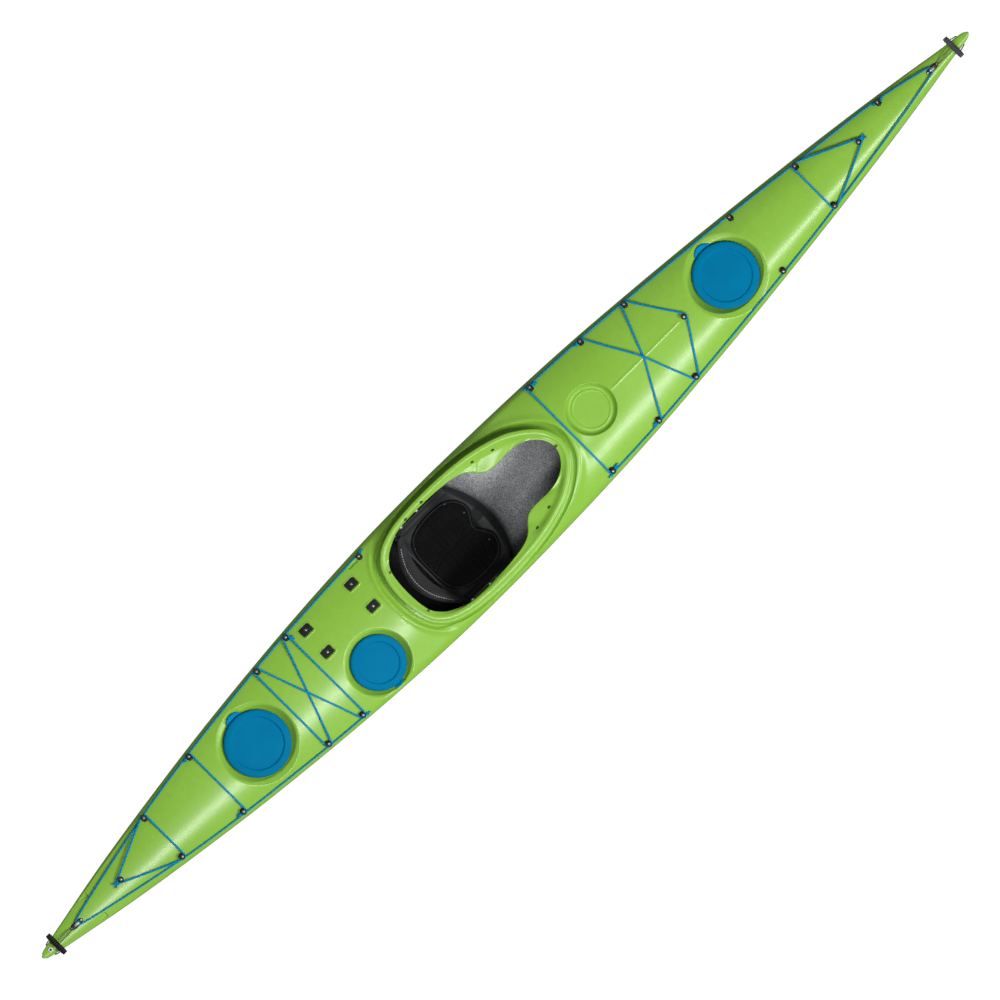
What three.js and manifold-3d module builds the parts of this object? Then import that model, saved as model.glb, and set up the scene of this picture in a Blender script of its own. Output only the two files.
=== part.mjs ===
// A plastic touring sea kayak, 5.2 m long, as separate pieces in millimetres.
// +X points to the bow, +Y to port and +Z up. The origin is under the middle of
// the hull, on the surface that the keel rests on.
import * as THREE from "three";
import { mergeVertices } from "three/addons/utils/BufferGeometryUtils.js";
import Module from "manifold-3d";

const wasm = await Module();
wasm.setup();

// ---------------------------------------------------------------- dimensions
const LENGTH = 5200; // tip to tip
const WALL = 5; // moulded wall
const PLAY = 0.4; // gap between pieces that touch

// Half width of the hull in plan, [x, y].
const BEAM = [
  [-2600, 8], [-2580, 17.5], [-2560, 22.5], [-2530, 28.5], [-2500, 36], [-2441, 47.5],
  [-2362, 63], [-2282, 79], [-2202, 93.5], [-2123, 107], [-1964, 132], [-1805, 155],
  [-1646, 177], [-1487, 196.5], [-1328, 213.5], [-1169, 229], [-1010, 242.5],
  [-851, 254], [-692, 263], [-533, 270], [-374, 273.6], [-255, 274.2], [-136, 273.6],
  [23, 270.5], [182, 266.3], [341, 261], [500, 253.5], [659, 244], [818, 231.5],
  [977, 218], [1135, 203.5], [1294, 187.5], [1453, 170.2], [1612, 152], [1771, 133.1],
  [1930, 112.8], [2089, 91.2], [2248, 67.8], [2328, 55.2], [2407, 42], [2487, 29.5],
  [2540, 22.5], [2570, 18], [2588, 13], [2597, 7.5], [2600, 4],
];
// Height of the keel line, of the crown of the deck, and the deck's camber.
const KEEL = [
  [-2600, 262], [-2585, 222], [-2560, 178], [-2520, 130], [-2450, 82], [-2350, 48], [-2200, 25],
  [-1900, 9], [-1500, 3.5], [-1000, 1.2], [-780, 0], [800, 0], [1040, 1.2], [1400, 4], [1800, 13], [2100, 36],
  [2300, 76], [2430, 130], [2520, 196], [2570, 262], [2592, 322], [2600, 372],
];
const CROWN = [
  [-2600, 345], [-2400, 340], [-2200, 333], [-1900, 322], [-1600, 313], [-1300, 306],
  [-1000, 300], [-700, 297], [-550, 298], [-300, 306], [0, 322], [313, 345], [484, 352],
  [700, 358], [900, 362], [1100, 367], [1300, 374], [1500, 383], [1800, 399],
  [2100, 420], [2400, 448], [2600, 468],
];
const CAMBER = [
  [-2600, 3], [-2400, 9], [-2200, 15], [-1900, 22], [-1600, 28], [-1300, 32], [-1000, 35],
  [-700, 36], [-300, 43], [0, 52], [313, 60], [484, 62], [700, 62], [900, 60], [1100, 56],
  [1300, 50], [1500, 45], [1800, 36], [2100, 26], [2400, 14], [2600, 4],
];
// Share of a straight gable in the foredeck's camber: it makes the centre ridge.
const GABLE = [[-2600, 0], [530, 0], [640, 0.26], [940, 0.26], [1040, 0], [2600, 0]];
const CAMBER_POWER = 2.3;

// Normalised hull side, keel to sheer: [share of half width, share of height].
const MID_SIDE = [[0, 0], [0.28, 0], [0.5, 0.04], [0.7, 0.115], [0.84, 0.24], [0.925, 0.42], [0.975, 0.68], [1, 1]];
const END_SIDE = [[0, 0], [0.12, 0.06], [0.26, 0.16], [0.41, 0.29], [0.56, 0.45], [0.71, 0.62], [0.86, 0.81], [1, 1]];
const KEEL_FLAT = 66; // half width of the flat middle of the bottom
const DECK_F = [0.97, 0.92, 0.76, 0.54, 0.28, 0];

const OUTER_X = [
  -2600, -2588, -2560, -2515, -2450, -2370, -2260, -2110, -1930, -1720, -1480, -1240,
  -1000, -760, -520, -280, -40, 200, 400, 540, 640, 790, 940, 1040, 1240, 1480, 1700, 1900,
  2070, 2220, 2340, 2440, 2510, 2560, 2588, 2600,
];
const INNER_X = [
  -2440, -2330, -2180, -1980, -1720, -1450, -1180, -900, -600, -300, 0, 300, 540, 790, 1040,
  1300, 1560, 1790, 1990, 2160, 2290, 2390,
];

// Hatches: [name, x, y, cover radius, recess radius, floor depth below the deck, tab half width, side of the tab]
const HATCHES = [
  ["stern", -1393, -2, 136, 163, 30, 45, 1],
  ["day", -826, -117, 114, 137, 30, 27, -1],
  ["bow", 1238, -2, 135.5, 164, 44, 47, 1],
];
const HATCH_SIDES = 22;
const COMPASS = { x: 484, y: 0, r: 102.5, ring: 77.5, depth: 24 };

// Cockpit rim, half outline of the lip and of the opening inside it, [x, y].
const LIP = [[-585, 0], [-581, 60], [-566, 118], [-543, 160], [-494, 200], [-414, 227], [-327, 237], [-240, 239.5], [-156, 238], [-57, 231], [23, 219], [102, 199], [170, 174], [214, 148], [254, 118], [291, 78], [310, 38], [317, 0]];
const EDGE = [[-548, 0], [-542, 80], [-530, 119], [-495, 159], [-455, 182], [-408, 200], [-335, 207], [-255, 208], [-176, 205], [-96, 195], [-53, 179], [-29, 159], [-11, 139], [14, 120], [43, 113], [82, 112], [134, 113.5], [190, 103], [233, 80], [266, 40], [277, 0]];
const RIM_AFT = 318; // height of the rim over the lip's aft end
const RIM_FORE = 381; // and over its fore end

// Deck fittings: name and the middle of the head in plan, [x, y].
const POSTS = {
  aft_centre: [-2159, 0],
  quarter_port: [-1922, 108], quarter_starboard: [-1922, -108],
  stern_hatch_port: [-1624, 154], stern_hatch_starboard: [-1624, -154],
  aft_deck_port: [-1194, 204], aft_deck_starboard: [-1194, -204],
  rear_deck_port: [-1017, 220], rear_deck_starboard: [-1017, -220],
  cockpit_port: [-583, 240],
  foredeck_1_port: [372, 236.5], foredeck_1_starboard: [372, -236.5],
  foredeck_2_port: [643, 224.5], foredeck_2_starboard: [643, -224.5],
  foredeck_3_port: [871, 205], foredeck_3_starboard: [871, -205],
  foredeck_centre: [1004, 0],
  bow_hatch_port: [1412, 152], bow_hatch_starboard: [1412, -152],
  fore_port: [1739, 112], fore_starboard: [1739, -112],
  fore_centre: [1984, 0],
  bow_port: [2149, 60],
};
const POST = { base: 12, neck: 7.5, line: 6.15, bungee: 13.9, under: 18.4, top: 25 };
const LINE_R = 3.25;
const BUNGEE_R = 4;
const PADS = { aft_outer: [-939, 181], aft_inner: [-939, 59], fore_outer: [-682, 183], fore_inner: [-682, 60] };

const END = { hole: 2554, drop: 34, toggle_aft: 2521, toggle_fore: 2516, toggle_r: 12, toggle_l: 102, saddle_aft: -2409, saddle_fore: 2397 };
const SEAT = { aft: -436, fore: -84, half: 200, wall: 4 };
const FOOT = { from: 380, to: 760, z: 150, pedal: 560, travel: 120 };
const BULKHEADS = { aft_bulkhead: -1090, cockpit_bulkhead: -650, fore_bulkhead: 890 };

// ---------------------------------------------------------------- materials
const paint = (color, roughness, metalness = 0) => new THREE.MeshStandardMaterial({ color, roughness, metalness });
const LIME = paint(0x7cb832, 0.42);
const BLUE = paint(0x0a80b4, 0.5);
const CORD = paint(0x0a6fa6, 0.85);
const BLACK = paint(0x17181a, 0.6);
const DARK = paint(0x2a2b2d, 0.75);
const FOAM = paint(0x3a3b3d, 0.9);
const STEEL = paint(0xc9c9c6, 0.3, 1);
const ALLOY = paint(0x8d9094, 0.4, 1);
const NYLON = paint(0xe8e8e4, 0.5);

// ---------------------------------------------------------------- helpers
const group = new THREE.Group();
function add(name, geometry, material) {
  const mesh = new THREE.Mesh(geometry, material);
  mesh.name = name;
  group.add(mesh);
  return mesh;
}

// A smooth curve through a table of [x, y] that never overshoots its points.
function curve(table) {
  const xs = table.map((p) => p[0]), ys = table.map((p) => p[1]), n = xs.length;
  const d = [];
  for (let i = 0; i < n - 1; i++) d.push((ys[i + 1] - ys[i]) / (xs[i + 1] - xs[i]));
  const m = [d[0]];
  for (let i = 1; i < n - 1; i++) {
    if (d[i - 1] * d[i] <= 0) m.push(0);
    else {
      const h0 = xs[i] - xs[i - 1], h1 = xs[i + 1] - xs[i];
      const w0 = 2 * h1 + h0, w1 = h1 + 2 * h0;
      m.push((w0 + w1) / (w0 / d[i - 1] + w1 / d[i]));
    }
  }
  m.push(d[n - 2]);
  return (x) => {
    if (x <= xs[0]) return ys[0];
    if (x >= xs[n - 1]) return ys[n - 1];
    let i = 0;
    while (x > xs[i + 1]) i++;
    const h = xs[i + 1] - xs[i], t = (x - xs[i]) / h, t2 = t * t, t3 = t2 * t;
    return (2 * t3 - 3 * t2 + 1) * ys[i] + (t3 - 2 * t2 + t) * h * m[i] + (3 * t2 - 2 * t3) * ys[i + 1] + (t3 - t2) * h * m[i + 1];
  };
}
const beam = curve(BEAM), keel = curve(KEEL), crown = curve(CROWN), camber = curve(CAMBER), gable = curve(GABLE);
const edgeDrop = (x) => 6 + (10 * beam(x)) / 274;
const deckAt = (x, f) => {
  const r = gable(x), e = Math.max(0, (f - 0.9) / 0.1);
  return crown(x) - camber(x) * ((1 - r) * f ** CAMBER_POWER + r * f) - edgeDrop(x) * e * e;
};
const deckZ = (x, y) => deckAt(x, Math.min(1, Math.abs(y) / beam(x)));
const sheer = (x) => deckAt(x, 1);
function deckNormal(x, y) {
  const h = 4;
  const dx = (deckZ(x + h, y) - deckZ(x - h, y)) / (2 * h), dy = (deckZ(x, y + h) - deckZ(x, y - h)) / (2 * h);
  return new THREE.Vector3(-dx, -dy, 1).normalize();
}
const smooth = (a, b, x) => {
  const t = Math.min(1, Math.max(0, (x - a) / (b - a)));
  return t * t * (3 - 2 * t);
};

// Half section from the keel to the crown, as [y, z].
function halfSection(x) {
  const b = beam(x), k = keel(x), s = sheer(x), w = smooth(800, 2250, Math.abs(x));
  const points = MID_SIDE.map((m, i) => {
    const e = END_SIDE[i], y = b * (m[0] + (e[0] - m[0]) * w);
    return [i === 1 ? Math.min(KEEL_FLAT, y) : y, k + (s - k) * (m[1] + (e[1] - m[1]) * w)];
  });
  DECK_F.forEach((f) => points.push([b * f, deckAt(x, f)]));
  return points;
}
// The same section moved inwards by t, for the inner face of the wall.
function insetSection(x, t) {
  const p = halfSection(x), n = p.length;
  const at = (i) => (i < 0 ? [-p[-i][0], p[-i][1]] : i >= n ? [-p[2 * n - 2 - i][0], p[2 * n - 2 - i][1]] : p[i]);
  return p.map((q, i) => {
    const a = at(i - 1), c = at(i + 1);
    const e0 = new THREE.Vector2(q[0] - a[0], q[1] - a[1]).normalize();
    const e1 = new THREE.Vector2(c[0] - q[0], c[1] - q[1]).normalize();
    // inward is to the left of the way from keel to crown on the port side
    const n0 = new THREE.Vector2(-e0.y, e0.x), n1 = new THREE.Vector2(-e1.y, e1.x);
    const m = n0.add(n1).normalize();
    const l = Math.min(2.4, 1 / Math.max(0.2, m.dot(n1)));
    return [i === 0 || i === n - 1 ? 0 : Math.max(0.8, q[0] + m.x * t * l), q[1] + m.y * t * l];
  });
}
function ringOf(x, half) {
  const ring = half.map(([y, z]) => new THREE.Vector3(x, y, z));
  for (let i = half.length - 2; i > 0; i--) ring.push(new THREE.Vector3(x, -half[i][0], half[i][1]));
  return ring;
}
// A closed solid through rings of equal count, with flat ends, or closed on itself.
function loft(rings, closed = false) {
  const n = rings[0].length, m = rings.length, out = [];
  const tri = (a, b, c) => out.push(a, b, c);
  for (let i = 0; i < (closed ? m : m - 1); i++)
    for (let j = 0; j < n; j++) {
      const k = (j + 1) % n, u = rings[i], v = rings[(i + 1) % m];
      tri(u[j], v[j], v[k]);
      tri(u[j], v[k], u[k]);
    }
  if (!closed)
    [0, m - 1].forEach((i) => {
      const c = new THREE.Vector3();
      rings[i].forEach((p) => c.add(p));
      c.divideScalar(n);
      for (let j = 0; j < n; j++) {
        const k = (j + 1) % n;
        if (i === 0) tri(c, rings[i][j], rings[i][k]);
        else tri(c, rings[i][k], rings[i][j]);
      }
    });
  return fromTriangles(out);
}
function fromTriangles(points) {
  let volume = 0;
  for (let i = 0; i < points.length; i += 3) volume += points[i].dot(new THREE.Vector3().crossVectors(points[i + 1], points[i + 2]));
  const a = new Float32Array(points.length * 3);
  for (let i = 0; i < points.length; i += 3) {
    const order = volume < 0 ? [i, i + 2, i + 1] : [i, i + 1, i + 2];
    order.forEach((k, j) => points[k].toArray(a, (i + j) * 3));
  }
  return new THREE.BufferGeometry().setAttribute("position", new THREE.BufferAttribute(a, 3));
}
function solid(geometry) {
  const g = geometry.clone();
  g.deleteAttribute("normal");
  g.deleteAttribute("uv");
  const merged = mergeVertices(g, 1e-3);
  return new wasm.Manifold(new wasm.Mesh({ numProp: 3, vertProperties: new Float32Array(merged.attributes.position.array), triVerts: new Uint32Array(merged.index.array) }));
}
function shape(made) {
  const m = made.getMesh(), v = new Float32Array(m.numVert * 3);
  for (let i = 0; i < m.numVert; i++) v.set(m.vertProperties.subarray(i * m.numProp, i * m.numProp + 3), i * 3);
  const g = new THREE.BufferGeometry().setAttribute("position", new THREE.BufferAttribute(v, 3)).setIndex(new THREE.BufferAttribute(new Uint32Array(m.triVerts), 1));
  g.computeVertexNormals();
  return g;
}
const join = (...g) => shape(g.map(solid).reduce((a, b) => a.add(b)));
// A turned solid about Z from an [r, z] outline that closes on itself or on the axis.
function turned(outline, sides, closed = false) {
  const points = outline.map(([r, z]) => new THREE.Vector2(r, z));
  if (closed) points.push(points[0].clone());
  const g = new THREE.LatheGeometry(points, sides).rotateX(Math.PI / 2); // a lathe turns about Y
  return solid(g).volume() < 0 ? flipped(g) : g;
}
function flipped(g) {
  const h = g.clone(), index = h.index.array;
  for (let i = 0; i < index.length; i += 3) [index[i + 1], index[i + 2]] = [index[i + 2], index[i + 1]];
  return h;
}
// A prism over a closed outline of [x, y], from z0 to z1.
function prism(outline, z0, z1) {
  const s = new THREE.Shape(outline.map(([x, y]) => new THREE.Vector2(x, y)));
  return new THREE.ExtrudeGeometry(s, { depth: z1 - z0, bevelEnabled: false }).translate(0, 0, z0);
}
function block(x, y, z, cx = 0, cy = 0, cz = 0) {
  return new THREE.BoxGeometry(x, y, z).translate(cx, cy, cz);
}
// Moves a piece that is built about its own origin, +Z up, to a point with its Z along n.
function stand(geometry, p, n, spin = 0) {
  const q = new THREE.Quaternion().setFromUnitVectors(new THREE.Vector3(0, 0, 1), n);
  const m = new THREE.Matrix4().compose(p, q, new THREE.Vector3(1, 1, 1));
  return geometry.clone().applyMatrix4(new THREE.Matrix4().makeRotationZ(spin)).applyMatrix4(m);
}
// A closed curve through a half outline and its mirror image, sampled evenly.
function fullOutline(half, count) {
  const pts = half.map(([x, y]) => new THREE.Vector3(x, y, 0));
  for (let i = half.length - 2; i > 0; i--) pts.push(new THREE.Vector3(half[i][0], -half[i][1], 0));
  return new THREE.CatmullRomCurve3(pts, true, "centripetal").getSpacedPoints(count).slice(0, count);
}

// A route of given points, used as they are, for a cord's section to follow.
class Route extends THREE.Curve {
  constructor(points) {
    super();
    this.points = points;
  }
  getPoint(t, target = new THREE.Vector3()) {
    const s = t * (this.points.length - 1), i = Math.min(this.points.length - 2, Math.floor(s));
    return target.copy(this.points[i]).lerp(this.points[i + 1], s - i);
  }
  getPointAt(t, target) {
    return this.getPoint(t, target);
  }
  getSpacedPoints() {
    return this.points.map((p) => p.clone());
  }
  getTangentAt(u, target = new THREE.Vector3()) {
    const n = this.points.length - 1, i = Math.round(u * n);
    const a = this.points[Math.max(0, i - 1)], b = this.points[i], c = this.points[Math.min(n, i + 1)];
    const d0 = new THREE.Vector3().subVectors(b, a), d1 = new THREE.Vector3().subVectors(c, b);
    if (d0.lengthSq() > 0) d0.normalize();
    if (d1.lengthSq() > 0) d1.normalize();
    return target.copy(d0).add(d1).normalize();
  }
}
function tube(points, r, sides = 6) {
  const section = new THREE.Shape();
  for (let i = 0; i < sides; i++) {
    const a = (2 * Math.PI * i) / sides;
    section[i ? "lineTo" : "moveTo"](r * Math.cos(a), r * Math.sin(a));
  }
  section.closePath();
  return new THREE.ExtrudeGeometry(section, { steps: points.length - 1, extrudePath: new Route(points), curveSegments: 1 });
}
const V = (x, y, z) => new THREE.Vector3(x, y, z);

// ---------------------------------------------------------------- hull shell
const outerGeometry = loft(OUTER_X.map((x) => ringOf(x, halfSection(x))));
const outer = solid(outerGeometry);
const inner = (t) => solid(loft(INNER_X.map((x) => ringOf(x, insetSection(x, t)))));
let hull = outer.subtract(inner(WALL));

// Height of a faceted surface over a point in plan.
function heights(geometry) {
  const facets = (geometry.index ? geometry.toNonIndexed() : geometry).attributes.position.array;
  return (x, y) => {
    let best = -Infinity;
    for (let i = 0; i < facets.length; i += 9) {
      const ax = facets[i], bx = facets[i + 3], cx = facets[i + 6];
      if ((x < ax && x < bx && x < cx) || (x > ax && x > bx && x > cx)) continue;
      const ay = facets[i + 1], by = facets[i + 4], cy = facets[i + 7];
      const d = (bx - ax) * (cy - ay) - (cx - ax) * (by - ay);
      if (Math.abs(d) < 1e-9) continue;
      const u = ((x - ax) * (cy - ay) - (cx - ax) * (y - ay)) / d, v = ((bx - ax) * (y - ay) - (x - ax) * (by - ay)) / d;
      if (u < -1e-6 || v < -1e-6 || u + v > 1 + 1e-6) continue;
      best = Math.max(best, facets[i + 2] * (1 - u - v) + facets[i + 5] * u + facets[i + 8] * v);
    }
    return best;
  };
}
const facetZ = heights(outerGeometry);
// Where a flat foot of half sizes a by c stands on the deck with a small gap.
function footing(x, y, a, c = a, n = deckNormal(x, y), gap = PLAY + 0.2) {
  const p = V(x, y, 0);
  let lift = -Infinity;
  for (let i = -2; i <= 2; i++)
    for (let j = -2; j <= 2; j++) {
      const px = x + (a * i) / 2, py = y + (c * j) / 2, z = facetZ(px, py);
      lift = Math.max(lift, z + (n.x * (px - x) + n.y * (py - y)) / n.z);
    }
  p.z = lift;
  return p.addScaledVector(n, gap);
}

// Hatch recesses, each with an upstanding rim that its cover grips.
const hatchFrames = {};
for (const [name, x, y, cover, recess, depth, tab, side] of HATCHES) {
  const n = deckNormal(x, y), p = V(x, y, deckZ(x, y));
  hatchFrames[name] = { p, n };
  const rim = cover - 10; // outer radius of the rim
  const N = HATCH_SIDES;
  const cut = stand(turned([[0, -depth], [recess, -depth], [recess, 90], [0, 90]], N), p, n);
  const dish = stand(turned([[rim - 8, -depth - WALL], [recess + 5, -depth - WALL], [recess + 5, 90], [recess, 90], [recess, -depth], [rim - 8, -depth]], N, true), p, n);
  const upstand = stand(turned([[rim - 8, -depth - 2.5], [rim, -depth - 2.5], [rim, -depth + 17], [rim - 8, -depth + 17]], N, true), p, n);
  const bore = stand(turned([[0, -depth - 60], [rim - 6, -depth - 60], [rim - 6, -depth - 1], [0, -depth - 1]], N), p, n);
  // the recess hangs from the deck, so what lies outside the moulding is trimmed
  hull = hull.subtract(solid(cut)).subtract(solid(bore)).add(solid(dish).intersect(outer)).add(solid(upstand));
}
{
  const { x, y, r, ring, depth } = COMPASS;
  const n = deckNormal(x, y), p = V(x, y, deckZ(x, y) - 4);
  const cut = stand(turned([[0, -depth], [r - 6, -depth], [r, -depth + 8], [r, 60], [0, 60]], 20), p, n);
  const dish = stand(turned([[0, -depth - WALL], [r + 5, -depth - WALL], [r + 5, 60], [r, 60], [r, -depth + 8], [r - 6, -depth], [ring + 3, -depth], [ring, -depth + 2.5], [ring - 3, -depth], [0, -depth]], 20), p, n);
  hull = hull.subtract(solid(cut)).add(solid(dish).intersect(outer));
}

// Cockpit rim: a wall round the opening, a lip for the spray deck and the thigh braces.
const RIM_N = 36;
const rimZ = (x) => RIM_AFT + ((RIM_FORE - RIM_AFT) * (x + 585)) / (317 + 585);
const lip = fullOutline(LIP, RIM_N);
const edgeCurve = fullOutline(EDGE, 400);
const inFrom = (p, n, d) => V(p.x - n.x * d, p.y - n.y * d, 0);
const rimRings = [], cutOutline = [], edgeOutline = [];
for (let i = 0; i < RIM_N; i++) {
  const p = lip[i], a = lip[(i + RIM_N - 1) % RIM_N], c = lip[(i + 1) % RIM_N];
  const t = V(c.x - a.x, c.y - a.y, 0).normalize();
  let n = V(t.y, -t.x, 0);
  if (n.dot(V(p.x + 130, p.y, 0)) < 0) n.negate();
  // the point of the opening's edge that faces this point of the lip
  const ang = Math.atan2(p.y, p.x + 130);
  let e = null, bestA = 9;
  for (const q of edgeCurve) {
    let d = Math.abs(Math.atan2(q.y, q.x + 130) - ang);
    if (d > Math.PI) d = 2 * Math.PI - d;
    if (d < bestA) (bestA = d), (e = q);
  }
  const z = rimZ(p.x), c3 = inFrom(p, n, 25), wide = Math.max(0, Math.hypot(c3.x - e.x, c3.y - e.y) - 6);
  const ze = z - 3 - Math.min(26, wide * 0.4);
  const w0 = inFrom(p, n, 14), w1 = inFrom(p, n, 20), wm = inFrom(p, n, 17);
  const foot = Math.min(facetZ(w0.x, w0.y), facetZ(w1.x, w1.y)) - 9;
  const at = (q, h) => V(q.x, q.y, h);
  rimRings.push([
    at(p, z - 2.5), at(inFrom(p, n, 3), z), at(inFrom(p, n, 16), z + 1.5), at(c3, z - 1), at(e, ze),
    at(e, ze - 5), at(inFrom(p, n, 22), z - 8), at(w1, z - 10), at(w1, foot), at(w0, foot), at(w0, z - 6), at(p, z - 6),
  ]);
  cutOutline.push([wm.x, wm.y]);
  edgeOutline.push([e.x, e.y]);
}
hull = hull.subtract(solid(prism(cutOutline, 180, 420))).add(solid(loft(rimRings, true)));

// Ends: a cross hole for each toggle's cord, and an upright hole for the stern bush.
const holeZ = { "-1": crown(-END.hole) - END.drop, 1: crown(END.hole) - END.drop };
for (const s of [-1, 1]) hull = hull.subtract(solid(new THREE.CylinderGeometry(3.6, 3.6, 160, 12).translate(s * END.hole, 0, holeZ[s])));
const bushTop = facetZ(-END.hole, 0);
hull = hull.subtract(solid(new THREE.CylinderGeometry(8.5, 8.5, 60, 16).rotateX(Math.PI / 2).translate(-END.hole, 0, bushTop + 30 - 18)));
add("hull_shell", shape(hull), LIME);
add("stern_bush", turned([[4, 0], [8, 0], [8, 17.2], [9.5, 18.6], [9.5, 19.8], [4, 19.8]], 16, true).translate(-END.hole, 0, bushTop - 17), NYLON);

// ---------------------------------------------------------------- hatch covers
for (const [name, , , cover, recess, depth, tab, side] of HATCHES) {
  const { p, n } = hatchFrames[name];
  const rim = cover - 10, z0 = -depth + 0.6, ring = cover - 27;
  const cap = turned([
    [0, z0 + 18], [rim + PLAY, z0 + 17], [rim + PLAY, z0], [cover, z0], [cover, z0 + 16], [cover - 4, z0 + 20], [ring + 3, z0 + 21], [ring, z0 + 23.5], [ring - 3, z0 + 21], [0, z0 + 22.5],
  ], HATCH_SIDES);
  const outline = [], reach = recess - (side < 0 ? 9 : 5);
  for (let i = 0; i <= 8; i++) {
    const a = (Math.PI * i) / 8;
    outline.push([tab * Math.cos(a), side * (reach - tab + tab * Math.sin(a))]);
  }
  outline.push([-tab, side * (reach - tab - 6)], [tab, side * (reach - tab - 6)]);
  if (side < 0) outline.reverse();
  const flap = prism(outline, z0 + 1, z0 + 6);
  const trimmed = solid(flap).subtract(solid(turned([[0, z0 - 5], [rim + 3, z0 - 5], [rim + 3, z0 + 12], [0, z0 + 12]], HATCH_SIDES)));
  const made = solid(cap).add(trimmed);
  add("hatch_cover_" + name, stand(shape(made), p, n), BLUE);
}

// ---------------------------------------------------------------- bulkheads
const inside = inner(WALL + 0.6);
for (const [name, x] of Object.entries(BULKHEADS)) add(name, shape(inside.intersect(solid(block(12, 700, 700, x, 0, 250)))), FOAM);

// ---------------------------------------------------------------- seat
// The pan's upper face: flat in the middle, rising to the sides and over the front lip.
const seatZ = (x, y) => {
  const f = Math.min(1, Math.abs(y) / SEAT.half);
  const front = smooth(-230, -120, x), tip = smooth(-118, -84, x);
  return 44 + 46 * f ** 3 + 26 * front - 30 * tip + 20 * (1 - f ** 4) * smooth(-390, -436, x);
};
let panZ;
const seatFront = (y) => SEAT.fore - 60 * (Math.abs(y) / SEAT.half) ** 2;
{
  // pan: rows across the boat, from port to starboard, each an upper and a lower line
  const rows = [];
  const ys = [-200, -180, -150, -110, -60, 0, 60, 110, 150, 180, 200];
  const ts = [0, 0.12, 0.35, 0.58, 0.72, 0.84, 0.93, 1];
  for (const y of ys) {
    const up = ts.map((t) => {
      const x = SEAT.aft + (seatFront(y) - SEAT.aft) * t;
      return V(x, y, seatZ(x + (SEAT.fore - seatFront(y)) * t, y));
    });
    rows.push([...up, ...up.map((q) => V(q.x, q.y, q.z - SEAT.wall)).reverse()]);
  }
  const pan = loft(rows);
  panZ = heights(pan);
  // side plates, which hang from the rim
  const plate = (s) => {
    const outline = [[-432, 78], [-150, 78], [-132, 110], [-160, 210], [-230, 312], [-402, 300], [-436, 210]];
    const top = outline.map(([x, z]) => [x, Math.min(z, rimZ(x) - 13)]);
    const g = new THREE.ExtrudeGeometry(new THREE.Shape(top.map(([x, z]) => new THREE.Vector2(x, z))), { depth: 5, bevelEnabled: false });
    g.rotateX(Math.PI / 2); // shape's y to z, depth to -y
    return g.translate(0, s > 0 ? 203 : -198, 0);
  };
  let seat = solid(pan).add(solid(plate(1))).add(solid(plate(-1)));
  for (const s of [-1, 1]) seat = seat.subtract(solid(new THREE.CylinderGeometry(4.4, 4.4, 40, 12).translate(-425, s * 200, 122)));
  add("seat_shell", shape(seat), DARK);
}
{
  // cushion on the pan: a rounded outline with a notch at the front
  const half = [[-434, 0], [-432, 60], [-420, 110], [-392, 145], [-340, 166], [-270, 173], [-200, 166], [-156, 140], [-134, 104], [-130, 72], [-146, 36], [-166, 0]];
  const out = fullOutline(half, 30);
  const c = V(-285, 0, 0), shrink = (q, k) => V(c.x + (q.x - c.x) * k, q.y * k, 0);
  const thick = (k) => 20 * Math.sqrt(Math.max(0, 1 - k ** 6)) + 6;
  const ring = (k, top) => out.map((q) => {
    const s = shrink(q, k);
    let z = -Infinity;
    for (const [dx, dy] of [[0, 0], [10, 0], [22, 0], [-10, 0], [-22, 0], [0, 10], [0, -10]]) z = Math.max(z, panZ(Math.max(-435, s.x + dx), s.y + dy));
    return V(s.x, s.y, z + 1.8 + (top ? thick(k) : 0));
  });
  const rings = [ring(0.03, false), ring(0.45, false), ring(0.75, false), ring(1, false), ring(1, true), ring(0.94, true), ring(0.65, true), ring(0.03, true)];
  add("seat_cushion", loft(rings), BLACK);
}
const BACK = { x: -425, z: 122 };
{
  // backrest: a padded band curved round the paddler, leaning aft
  const rings = [];
  for (let i = -6; i <= 6; i++) {
    const y = (i / 6) * 182, f = Math.abs(y) / 182;
    const sag = 74 * f * f, bottom = 100 + 26 * f ** 3, top = 238 - 52 * f ** 2.5;
    const lean = (z) => -448 - 0.33 * (z - 98) + sag * 0.95;
    const t = 22 - 6 * f;
    rings.push([
      V(lean(bottom), y, bottom), V(lean(bottom + 40), y, bottom + 40), V(lean(top - 10), y, top - 10), V(lean(top) - 6, y, top),
      V(lean(top) - t, y, top - 2), V(lean(bottom + 40) - t, y, bottom + 36), V(lean(bottom) - t + 6, y, bottom - 2),
    ]);
  }
  let back = solid(loft(rings));
  // arms out to the pivots
  for (const s of [-1, 1]) back = back.add(solid(new THREE.BoxGeometry(46, 8, 26).translate(-418, s * 184, 122)));
  for (const s of [-1, 1]) back = back.subtract(solid(new THREE.CylinderGeometry(4.4, 4.4, 40, 12).translate(BACK.x, s * 196, BACK.z)));
  add("backrest", shape(back), BLACK);
  for (const s of [-1, 1]) {
    const pin = turned([[0, 0], [8, 0], [8, 4], [4, 4.5], [4, 24.4], [0, 24.4]], 12);
    pin.rotateX(s > 0 ? Math.PI / 2 : -Math.PI / 2).translate(BACK.x, s * 207.6, BACK.z);
    add("backrest_pivot_" + (s > 0 ? "port" : "starboard"), pin, STEEL);
  }
}

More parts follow.
